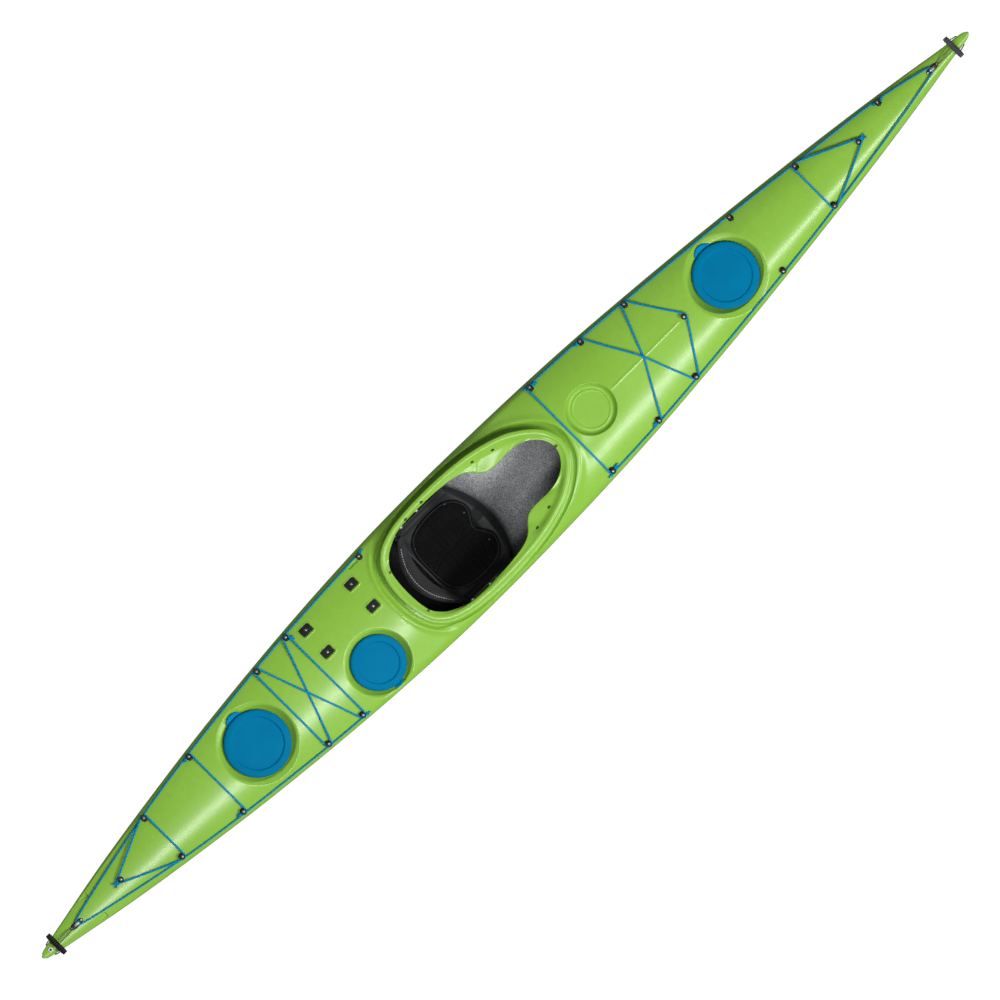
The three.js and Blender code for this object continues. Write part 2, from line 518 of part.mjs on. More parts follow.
// ---------------------------------------------------------------- foot braces
for (const s of [-1, 1]) {
  const name = s > 0 ? "port" : "starboard";
  const sideY = (x) => {
    const h = insetSection(x, WALL);
    for (let i = 0; i < 7; i++) if (h[i][1] <= FOOT.z && h[i + 1][1] > FOOT.z) return h[i][0] + ((h[i + 1][0] - h[i][0]) * (FOOT.z - h[i][1])) / (h[i + 1][1] - h[i][1]);
    return h[7][0];
  };
  const y0 = sideY(FOOT.from) - 16, y1 = sideY(FOOT.to) - 16;
  const yaw = Math.atan2(s * (y1 - y0), FOOT.to - FOOT.from);
  const cx = (FOOT.from + FOOT.to) / 2, cy = (s * (y0 + y1)) / 2, len = Math.hypot(FOOT.to - FOOT.from, y1 - y0);
  const place = (g) => g.rotateZ(yaw).translate(cx, cy, FOOT.z);
  // rail: a flat bar with a narrow web towards the hull and two feet on it
  const rail = join(block(len, 6, 26), block(len - 40, 6, 12, 0, s * 5.8, 0), block(24, 8, 26, -len / 2 + 20, s * 6.5, 0), block(24, 8, 26, len / 2 - 20, s * 6.5, 0));
  add("foot_rail_" + name, place(rail), ALLOY);
  // pedal: a carriage that wraps the bar and a plate that faces the paddler
  const off = FOOT.pedal - cx;
  const carriage = [block(60, 8, 36, 0, -s * 7.5, 0), block(60, 11, 4.2, 0, -s * 2.2, 15.8), block(60, 11, 4.2, 0, -s * 2.2, -15.8)];
  const plate = block(12, 96, 120, 20, -s * 55, 10), brace = block(34, 8, 60, 0, -s * 14, 6);
  const pedal = join(...carriage, plate, brace).translate(off, 0, 0);
  add("foot_pedal_" + name, place(pedal), BLACK);
}

// ---------------------------------------------------------------- deck fittings
const posts = {};
const postShape = turned([[0, 0], [POST.base, 0], [POST.base - 1, 2.6], [POST.neck, 2.6], [POST.neck, POST.under], [POST.base - 0.2, POST.under], [POST.base - 1.6, POST.top - 2], [5, POST.top + 1], [0, POST.top + 3.2]], 8);
for (const [name, [hx, hy]] of Object.entries(POSTS)) {
  // the table gives the head's place in plan, and the foot is below it along the deck's normal
  const lean = deckNormal(hx, hy), x = hx - lean.x * 18, y = hy - lean.y * 18;
  const n = deckNormal(x, y), p = footing(x, y, POST.base * 0.86, POST.base * 0.86, n);
  posts[name] = { p, n, x, y };
  add("fitting_" + name, stand(postShape, p, n), BLACK);
}
for (const [name, [x, y]] of Object.entries(PADS)) {
  const n = deckNormal(x, y), p = footing(x, y, 25, 17.5, n);
  const s = new THREE.Shape(), a = 25, b = 17.5, r = 3;
  s.moveTo(-a + r, -b).lineTo(a - r, -b).lineTo(a, -b + r).lineTo(a, b - r).lineTo(a - r, b).lineTo(-a + r, b).lineTo(-a, b - r).lineTo(-a, -b + r).closePath();
  const pad = new THREE.ExtrudeGeometry(s, { depth: 7, bevelEnabled: false });
  add("deck_pad_" + name, stand(pad, p, n), BLACK);
}

// End saddles: a long plate along the boat with a strap that the lines pass under.
const saddles = {};
for (const [key, x, tilt] of [["stern", END.saddle_aft, 0], ["bow", END.saddle_fore, 0]]) {
  const n = deckNormal(x, 0), p = footing(x, -1, 31, 10, n);
  saddles[key] = { p, n };
  const plateOutline = [];
  for (let i = 0; i < 16; i++) {
    const a = (2 * Math.PI * i) / 16, c = Math.cos(a), s = Math.sin(a);
    plateOutline.push([22 * Math.sign(c) * Math.abs(c) ** 0.6 * 1 + 10 * c, 12 * s]);
  }
  const base = prism(plateOutline, 0, 3);
  const arch = new THREE.Shape();
  arch.moveTo(-17, 1).lineTo(-14, 12).lineTo(-10, 15).lineTo(10, 15).lineTo(14, 12).lineTo(17, 1).lineTo(12, 1).lineTo(10, 9.5).lineTo(8, 11).lineTo(-8, 11).lineTo(-10, 9.5).lineTo(-12, 1).closePath();
  const strap = new THREE.ExtrudeGeometry(arch, { depth: 12, bevelEnabled: false }).rotateX(Math.PI / 2).translate(0, 6, 0);
  add(key + "_saddle", stand(join(base, strap), p, n), STEEL);
}

// ---------------------------------------------------------------- cords on the deck
const right = (d) => V(d.y, -d.x, 0); // to the right of a heading, in plan
const heading = (a, b) => V(b.x - a.x, b.y - a.y, 0).normalize();
const spot = (post, h) => post.p.clone().addScaledVector(post.n, h);
// Lifts a stretch between two points just clear of the deck, pulled taut over it.
function taut(a, b, r, hump = 0, bow = 0) {
  const n = Math.max(3, Math.min(10, Math.round(a.distanceTo(b) / 50))), pts = [];
  for (let i = 1; i < n; i++) {
    const t = i / n, x = a.x + (b.x - a.x) * t + bow * (1 - Math.abs(2 * t - 1)), y = a.y + (b.y - a.y) * t;
    let z = -Infinity;
    for (const [dx, dy] of [[0, 0], [r, 0], [-r, 0], [0, r], [0, -r], [20, 0], [-20, 0], [0, 20], [0, -20]]) z = Math.max(z, facetZ(x + dx * (Math.abs(dx) > 19 ? Math.abs(b.x - a.x) / a.distanceTo(b) : 1), y + dy * (Math.abs(dy) > 19 ? Math.abs(b.y - a.y) / a.distanceTo(b) : 1)));
    const w = Math.exp(-(((t - 0.5) * a.distanceTo(b)) ** 2) / 1400);
    pts.push([t, z + r + 1.1 + hump * w, x, y]);
  }
  // upper hull of the deck heights and the two ends
  const all = [[0, a.z, a.x, a.y], ...pts, [1, b.z, b.x, b.y]], up = [];
  for (const q of all) {
    while (up.length > 1) {
      const [t0, z0] = up[up.length - 2], [t1, z1] = up[up.length - 1];
      if ((z1 - z0) * (q[0] - t0) <= (q[1] - z0) * (t1 - t0) + 1e-9) up.pop();
      else break;
    }
    up.push(q);
  }
  return up.slice(1, -1).map(([, z, x, y]) => V(x, y, z));
}
// A cord round a row of fittings: side +1 keeps a fitting on the left, -1 on the right.
function wrapped(stops, R, h, r, options = {}) {
  const n = stops.length;
  const seg = [];
  for (let i = 0; i < n - 1; i++) {
    const a = stops[i], b = stops[i + 1];
    let d = heading(a.at, b.at);
    for (let k = 0; k < 8; k++) {
      const pa = a.at.clone().addScaledVector(right(d), a.side * R), pb = b.at.clone().addScaledVector(right(d), b.side * R);
      d = heading(pa, pb);
    }
    seg.push(d);
  }
  const path = [];
  for (let i = 0; i < n; i++) {
    const s = stops[i], dIn = seg[Math.max(0, i - 1)], dOut = seg[Math.min(n - 2, i)];
    const a0 = Math.atan2(dIn.y, dIn.x);
    let da = Math.atan2(dOut.y, dOut.x) - a0;
    if (i === 0 && s.start !== undefined) da = 0;
    while (da > Math.PI) da -= 2 * Math.PI;
    while (da < -Math.PI) da += 2 * Math.PI;
    const steps = Math.max(0, Math.ceil(Math.abs(da) / 0.62));
    const arc = [];
    for (let k = 0; k <= steps; k++) {
      const ang = a0 + (steps ? (da * k) / steps : 0), d = V(Math.cos(ang), Math.sin(ang), 0);
      const off = right(d).multiplyScalar(s.side * R);
      // keep the cord's height over the tilted foot of the fitting
      const q = s.at.clone().add(off);
      q.z -= (s.n.x * off.x + s.n.y * off.y) / s.n.z;
      arc.push(q);
    }
    if (i > 0) path.push(...taut(path[path.length - 1], arc[0], r, (options.humps || [])[i - 1] || 0, (options.bows || [])[i - 1] || 0));
    path.push(...arc);
  }
  return path;
}
const stop = (name, h, side) => ({ at: spot(posts[name], h), n: posts[name].n, side });
const knot = (p, a, b, c, yaw = 0) => {
  const g = new THREE.IcosahedronGeometry(1.1, 0);
  return g.scale(a, b, c).rotateZ(yaw).translate(p.x, p.y, p.z);
};
const routes = {};
// A stretch that ends in a knot at each end.
function knotted(points, r, sizes) {
  let made = solid(tube(points, r));
  const ends = [points[0], points[points.length - 1]];
  ends.forEach((p, i) => {
    if (!sizes[i]) return;
    const q = points[i ? points.length - 2 : 1], yaw = Math.atan2(p.y - q.y, p.x - q.x);
    made = made.add(solid(knot(p, sizes[i][0], sizes[i][1], sizes[i][2], yaw)));
  });
  return shape(made);
}
const RB = POST.neck + BUNGEE_R + PLAY, RL = POST.neck + LINE_R + PLAY, HB = POST.bungee, HL = POST.line;
// A free end beside a fitting, which a knot closes.
const tail = (name, dx, dy, dz = -2) => ({ at: spot(posts[name], HB).add(V(dx, dy, dz)), n: posts[name].n, side: 0 });
function strand(name, list, options, knots) {
  const path = wrapped(list, RB, HB, BUNGEE_R, options);
  routes[name] = path;
  let made = solid(tube(path, BUNGEE_R));
  for (const [p, a, b, c] of knots) made = made.add(solid(knot(p, a, b, c)));
  add(name, shape(made), CORD);
}
{
  // aft centre fitting and the two quarter fittings: a triangle, tied behind the centre one
  const a = tail("aft_centre", -17, 4), b = tail("aft_centre", -17, -4);
  strand("bungee_stern", [a, stop("aft_centre", HB, -1), stop("quarter_port", HB, -1), stop("quarter_starboard", HB, -1), stop("aft_centre", HB, -1), b], {}, [[spot(posts.aft_centre, HB).add(V(-20, 0, -2)), 7, 10, 6]]);
}
{
  // aft deck, behind the stern hatch: a single strand, tied behind each fitting
  const a = tail("stern_hatch_port", -20, 1, 1), b = tail("stern_hatch_starboard", -20, -1, 1);
  strand("bungee_stern_hatch", [a, stop("stern_hatch_port", HB, -1), stop("stern_hatch_starboard", HB, -1), b], {}, [[a.at, 7, 6, 5], [b.at, 7, 6, 5]]);
}
{
  // aft deck: a crossed loop over four fittings, tied beside the port one
  const a = tail("rear_deck_port", 11, -15, 0), b = tail("rear_deck_port", 11, -25, 0);
  strand("bungee_aft_deck", [a, stop("rear_deck_port", HB, 1), stop("aft_deck_starboard", HB, -1), stop("aft_deck_port", HB, -1), stop("rear_deck_starboard", HB, 1), b], { humps: [0, 0, 0, 9.2, 0] }, [[spot(posts.rear_deck_port, HB).add(V(11, -20, 0)), 6, 9, 6]]);
}
{
  // foredeck, ahead of the cockpit: a single strand, tied ahead of each fitting
  const a = tail("foredeck_1_port", 20, -1), b = tail("foredeck_1_starboard", 20, 1);
  strand("bungee_foredeck_single", [a, stop("foredeck_1_port", HB, 1), stop("foredeck_1_starboard", HB, 1), b], {}, [[a.at, 7, 6, 5], [b.at, 7, 6, 5]]);
}
{
  // foredeck: crossed strands, closed round the centre fitting
  const a = tail("foredeck_2_port", -20, 3), b = tail("foredeck_2_starboard", -20, -3);
  strand("bungee_foredeck", [a, stop("foredeck_2_port", HB, -1), stop("foredeck_3_starboard", HB, 1), stop("foredeck_centre", HB, 1), stop("foredeck_3_port", HB, 1), stop("foredeck_2_starboard", HB, -1), b], { humps: [0, 9.2, 0, 0, 0, 0], bows: [0, 17, 0, 0, 17, 0] }, [[a.at, 7, 6, 5], [b.at, 7, 6, 5]]);
}
{
  // bow: a triangle from the two fore fittings to the centre one, tied ahead of it
  const a = tail("fore_centre", 17, 4), b = tail("fore_centre", 17, -4);
  strand("bungee_bow", [a, stop("fore_centre", HB, 1), stop("fore_port", HB, 1), stop("fore_starboard", HB, 1), stop("fore_centre", HB, 1), b], {}, [[spot(posts.fore_centre, HB).add(V(20, 0, -2)), 7, 10, 6]]);
}
// Perimeter lines pass outboard of each fitting, under the heads.
function lineRoute(names, saddle) {
  const pts = [];
  names.forEach((name, i) => {
    if (name === "saddle") {
      const { p, n } = saddle;
      const q = p.clone().addScaledVector(n, 3 + LINE_R + PLAY);
      const s = Math.sign(p.x);
      const from = Math.sign(pts[pts.length - 1].y);
      const turn = [[-s * 14, from * 13], [-s * 3, from * 8], [0, 0], [-s * 3, -from * 8], [-s * 14, -from * 13]].map(([dx, dy]) => V(q.x + dx, dy, q.z + (Math.abs(dy) > 10 ? 0.5 : 0)));
      pts.push(...taut(pts[pts.length - 1], turn[0], LINE_R), ...turn);
      return;
    }
    const f = posts[name];
    const s = Math.sign(f.y), out = V(0, s, 0), q = spot(f, HL).addScaledVector(out, RL);
    q.z -= (f.n.y * s * RL) / f.n.z;
    if (i > 0) pts.push(...taut(pts[pts.length - 1], q, LINE_R));
    pts.push(q);
  });
  return pts;
}
{
  const aft = lineRoute(["rear_deck_starboard", "aft_deck_starboard", "stern_hatch_starboard", "quarter_starboard", "saddle", "quarter_port", "stern_hatch_port", "aft_deck_port", "rear_deck_port", "cockpit_port"], saddles.stern);
  const a0 = aft[0].clone().add(V(16, -1, 0)), a1 = aft[aft.length - 1].clone().add(V(16, 1, 0));
  const path = [a0, ...aft, a1];
  routes.deck_line_aft = path;
  add("deck_line_aft", knotted(path, LINE_R, [[8, 6, 4.6], [8, 6, 4.6]]), CORD);
  const fore = lineRoute(["foredeck_1_port", "foredeck_2_port", "foredeck_3_port", "bow_hatch_port", "fore_port", "bow_port", "saddle", "fore_starboard", "bow_hatch_starboard", "foredeck_3_starboard", "foredeck_2_starboard", "foredeck_1_starboard"], saddles.bow);
  const b0 = fore[0].clone().add(V(-16, 1, 0)), b1 = fore[fore.length - 1].clone().add(V(-16, -1, 0));
  const path2 = [b0, ...fore, b1];
  routes.deck_line_fore = path2;
  add("deck_line_fore", knotted(path2, LINE_R, [[8, 6, 4.6], [8, 6, 4.6]]), CORD);
}

// ---------------------------------------------------------------- carrying toggles
for (const s of [-1, 1]) {
  const key = s < 0 ? "stern" : "bow";
  const x = s < 0 ? -END.toggle_aft : END.toggle_fore, r = END.toggle_r;
  const z = Math.max(facetZ(x - 9, 0), facetZ(x + 9, 0), facetZ(x, 0)) + r + 0.8;
  const l = END.toggle_l / 2;
  const bar = turned([[0, -l], [r - 3, -l], [r - 0.8, -l + 2.5], [r - 0.4, -l * 0.5], [r, 0], [r - 0.4, l * 0.5], [r - 0.8, l - 2.5], [r - 3, l], [0, l]], 16).rotateX(Math.PI / 2).translate(x, 0, z);
  add(key + "_toggle", bar, BLACK);
  // loop through the cross hole, up both sides of the tip to the bar
  const hx = s * END.hole, hz = holeZ[s], edge = (px) => beam(px);
  const up = (side) => {
    const top = V(x + s * (r + 3.2) * 0.75, side * 31, z - (r + 3.2) * 0.66);
    return [top, V(s * (END.hole - 16), side * (edge(s * (END.hole - 16)) + 4.4), (sheer(hx) + z - 8) / 2), V(s * (END.hole - 4), side * (edge(hx) + 3.8), sheer(hx) - 2), V(hx, side * (edge(hx) + 1.5), hz + 2.5), V(hx, side * (edge(hx) - 3), hz)];
  };
  const path = [...up(1), V(hx, 0, hz), ...up(-1).reverse()];
  routes[key + "_toggle_loop"] = path;
  add(key + "_toggle_loop", tube(path, 2.5), BLACK);
  // elastic keeper from the bar to the saddle
  const { p, n } = saddles[key];
  const k0 = V(x - s * (r + 2.4), 7, z), far = V(p.x + s * 20, 0, p.z + 6.5);
  const kp = [k0, V(x - s * (r + 20), 7, z - 2), V(p.x + s * 34, 5, p.z + 8), far, V(p.x + s * 34, -5, p.z + 8), V(x - s * (r + 20), -7, z - 2), V(x - s * (r + 2.4), -7, z)];
  routes[key + "_keeper"] = kp;
  add(key + "_toggle_keeper", tube(kp, 1.6), BLACK);
}

export default group;
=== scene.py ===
import math

import bpy
import numpy as np
from mathutils import Matrix, Vector


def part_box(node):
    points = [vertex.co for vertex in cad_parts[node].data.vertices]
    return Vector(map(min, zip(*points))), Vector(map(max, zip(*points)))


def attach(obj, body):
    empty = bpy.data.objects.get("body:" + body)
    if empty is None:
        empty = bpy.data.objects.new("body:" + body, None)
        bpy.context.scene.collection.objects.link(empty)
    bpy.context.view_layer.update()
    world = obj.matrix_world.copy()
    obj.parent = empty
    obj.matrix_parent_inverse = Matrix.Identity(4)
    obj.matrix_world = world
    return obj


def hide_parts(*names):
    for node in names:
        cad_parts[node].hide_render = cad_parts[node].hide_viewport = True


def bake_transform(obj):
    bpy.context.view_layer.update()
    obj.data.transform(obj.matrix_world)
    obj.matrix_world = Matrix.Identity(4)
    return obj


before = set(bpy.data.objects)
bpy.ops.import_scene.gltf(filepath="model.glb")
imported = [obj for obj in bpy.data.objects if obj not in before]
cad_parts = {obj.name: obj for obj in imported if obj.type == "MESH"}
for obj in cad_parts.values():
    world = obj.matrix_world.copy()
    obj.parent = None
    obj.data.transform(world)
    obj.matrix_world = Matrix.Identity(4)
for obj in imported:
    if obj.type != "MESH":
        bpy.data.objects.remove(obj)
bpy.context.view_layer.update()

KAYAK = "kayak"
MM = 0.001

# ------------------------------------------------------------------ tables, in millimetres
BEAM = [
    (-2600, 8), (-2580, 17.5), (-2560, 22.5), (-2530, 28.5), (-2500, 36), (-2441, 47.5),
    (-2362, 63), (-2282, 79), (-2202, 93.5), (-2123, 107), (-1964, 132), (-1805, 155),
    (-1646, 177), (-1487, 196.5), (-1328, 213.5), (-1169, 229), (-1010, 242.5),
    (-851, 254), (-692, 263), (-533, 270), (-374, 273.6), (-255, 274.2), (-136, 273.6),
    (23, 270.5), (182, 266.3), (341, 261), (500, 253.5), (659, 244), (818, 231.5),
    (977, 218), (1135, 203.5), (1294, 187.5), (1453, 170.2), (1612, 152), (1771, 133.1),
    (1930, 112.8), (2089, 91.2), (2248, 67.8), (2328, 55.2), (2407, 42), (2487, 29.5),
    (2540, 22.5), (2570, 18), (2588, 13), (2597, 7.5), (2600, 4),
]
KEEL = [
    (-2600, 262), (-2585, 222), (-2560, 178), (-2520, 130), (-2450, 82), (-2350, 48), (-2200, 25),
    (-1900, 9), (-1500, 3.5), (-1000, 1.2), (-780, 0), (800, 0), (1040, 1.2), (1400, 4), (1800, 13), (2100, 36),
    (2300, 76), (2430, 130), (2520, 196), (2570, 262), (2592, 322), (2600, 372),
]
CROWN = [
    (-2600, 345), (-2400, 340), (-2200, 333), (-1900, 322), (-1600, 313), (-1300, 306),
    (-1000, 300), (-700, 297), (-550, 298), (-300, 306), (0, 322), (313, 345), (484, 352),
    (700, 358), (900, 362), (1100, 367), (1300, 374), (1500, 383), (1800, 399),
    (2100, 420), (2400, 448), (2600, 468),
]
CAMBER = [
    (-2600, 3), (-2400, 9), (-2200, 15), (-1900, 22), (-1600, 28), (-1300, 32), (-1000, 35),
    (-700, 36), (-300, 43), (0, 52), (313, 60), (484, 62), (700, 62), (900, 60), (1100, 56),
    (1300, 50), (1500, 45), (1800, 36), (2100, 26), (2400, 14), (2600, 4),
]
GABLE = [(-2600, 0), (530, 0), (640, 0.26), (940, 0.26), (1040, 0), (2600, 0)]
MID_SIDE = [(0, 0), (0.28, 0), (0.5, 0.04), (0.7, 0.115), (0.84, 0.24), (0.925, 0.42), (0.975, 0.68), (1, 1)]
END_SIDE = [(0, 0), (0.12, 0.06), (0.26, 0.16), (0.41, 0.29), (0.56, 0.45), (0.71, 0.62), (0.86, 0.81), (1, 1)]
LIP = [(-585, 0), (-581, 60), (-566, 118), (-543, 160), (-494, 200), (-414, 227), (-327, 237), (-240, 239.5), (-156, 238), (-57, 231), (23, 219), (102, 199), (170, 174), (214, 148), (254, 118), (291, 78), (310, 38), (317, 0)]
EDGE = [(-548, 0), (-542, 80), (-530, 119), (-495, 159), (-455, 182), (-408, 200), (-335, 207), (-255, 208), (-176, 205), (-96, 195), (-53, 179), (-29, 159), (-11, 139), (14, 120), (43, 113), (82, 112), (134, 113.5), (190, 103), (233, 80), (266, 40), (277, 0)]

# Hatch frames: point on the deck, normal, cover radius, recess radius, depth, tab half width, side of the tab
HATCHES = {
    "stern": ((-1393, -2, 308.03), (0.02227, -0.00103, 0.99975), 136, 163, 30, 45, 1),
    "day": ((-826, -117, 291.84), (0.00758, -0.11507, 0.99333), 114, 137, 30, 27, -1),
    "bow": ((1238, -2, 371.62), (-0.03712, -0.00204, 0.99931), 135.5, 164, 44, 47, 1),
}
COMPASS = ((484, 0, 348), (-0.03332, 0, 0.99944), 102.5, 77.5, 24)

# Deck fittings: foot and normal.
POSTS = {
    "aft_centre": ((-2159.6, 0, 332.1), (0.037, 0, 0.9993)),
    "quarter_port": ((-1922.3, 103.6, 312.3), (0.0177, 0.2387, 0.9709)),
    "quarter_starboard": ((-1922.3, -103.6, 312.3), (0.0177, -0.2387, 0.9709)),
    "stern_hatch_port": ((-1624.1, 149.2, 296.2), (0.0083, 0.2665, 0.9638)),
    "stern_hatch_starboard": ((-1624.1, -149.2, 296.2), (0.0083, -0.2665, 0.9638)),
    "aft_deck_port": ((-1194.1, 198.2, 279.3), (0.0073, 0.2723, 0.9622)),
    "aft_deck_starboard": ((-1194.1, -198.2, 279.4), (0.0073, -0.2723, 0.9622)),
    "rear_deck_port": ((-1016.8, 213.2, 274.2), (-0.0005, 0.2708, 0.9626)),
    "rear_deck_starboard": ((-1016.8, -213.2, 274.3), (-0.0005, -0.2708, 0.9626)),
    "cockpit_port": ((-582.9, 235.1, 270.2), (-0.0082, 0.2595, 0.9657)),
    "foredeck_1_port": ((372.1, 227.4, 302.4), (-0.0135, 0.4129, 0.9107)),
    "foredeck_1_starboard": ((372.1, -227.4, 302.4), (-0.0135, -0.4129, 0.9107)),
    "foredeck_2_port": ((642.8, 215, 308.6), (-0.0004, 0.3938, 0.9192)),
    "foredeck_2_starboard": ((642.8, -215, 308.7), (-0.0004, -0.3938, 0.9192)),
    "foredeck_3_port": ((870.9, 196.7, 315.8), (0.0012, 0.4058, 0.914)),
    "foredeck_3_starboard": ((870.9, -196.7, 315.7), (0.0012, -0.4058, 0.914)),
    "foredeck_centre": ((1004.4, 0, 365.1), (-0.0248, 0, 0.9997)),
    "bow_hatch_port": ((1412.2, 144, 349.1), (-0.0157, 0.4341, 0.9007)),
    "bow_hatch_starboard": ((1412.2, -144, 349.1), (-0.0157, -0.4341, 0.9007)),
    "fore_port": ((1739.4, 104.3, 375.9), (-0.0298, 0.4069, 0.913)),
    "fore_starboard": ((1739.4, -104.3, 375.9), (-0.0298, -0.4069, 0.913)),
    "fore_centre": ((1985.3, 0, 412.1), (-0.072, 0, 0.9974)),
    "bow_port": ((2149.9, 52.9, 416.1), (-0.0608, 0.3519, 0.9341)),
}
SADDLES = {"stern": ((-2409, -1, 340.8), (0.0284, 0, 0.9996)), "bow": ((2396.9, -1, 448.3), (-0.0965, 0, 0.9953))}
PADS = {
    "aft_outer": ((-939, 181.1, 282.7), (0.0036, 0.2123, 0.9772)),
    "aft_inner": ((-939, 59, 298.5), (0.0131, 0.0505, 0.9986)),
    "fore_outer": ((-682, 183.1, 282.1), (-0.0058, 0.1926, 0.9813)),
    "fore_inner": ((-682, 60, 296.8), (-0.0024, 0.046, 0.9989)),
}
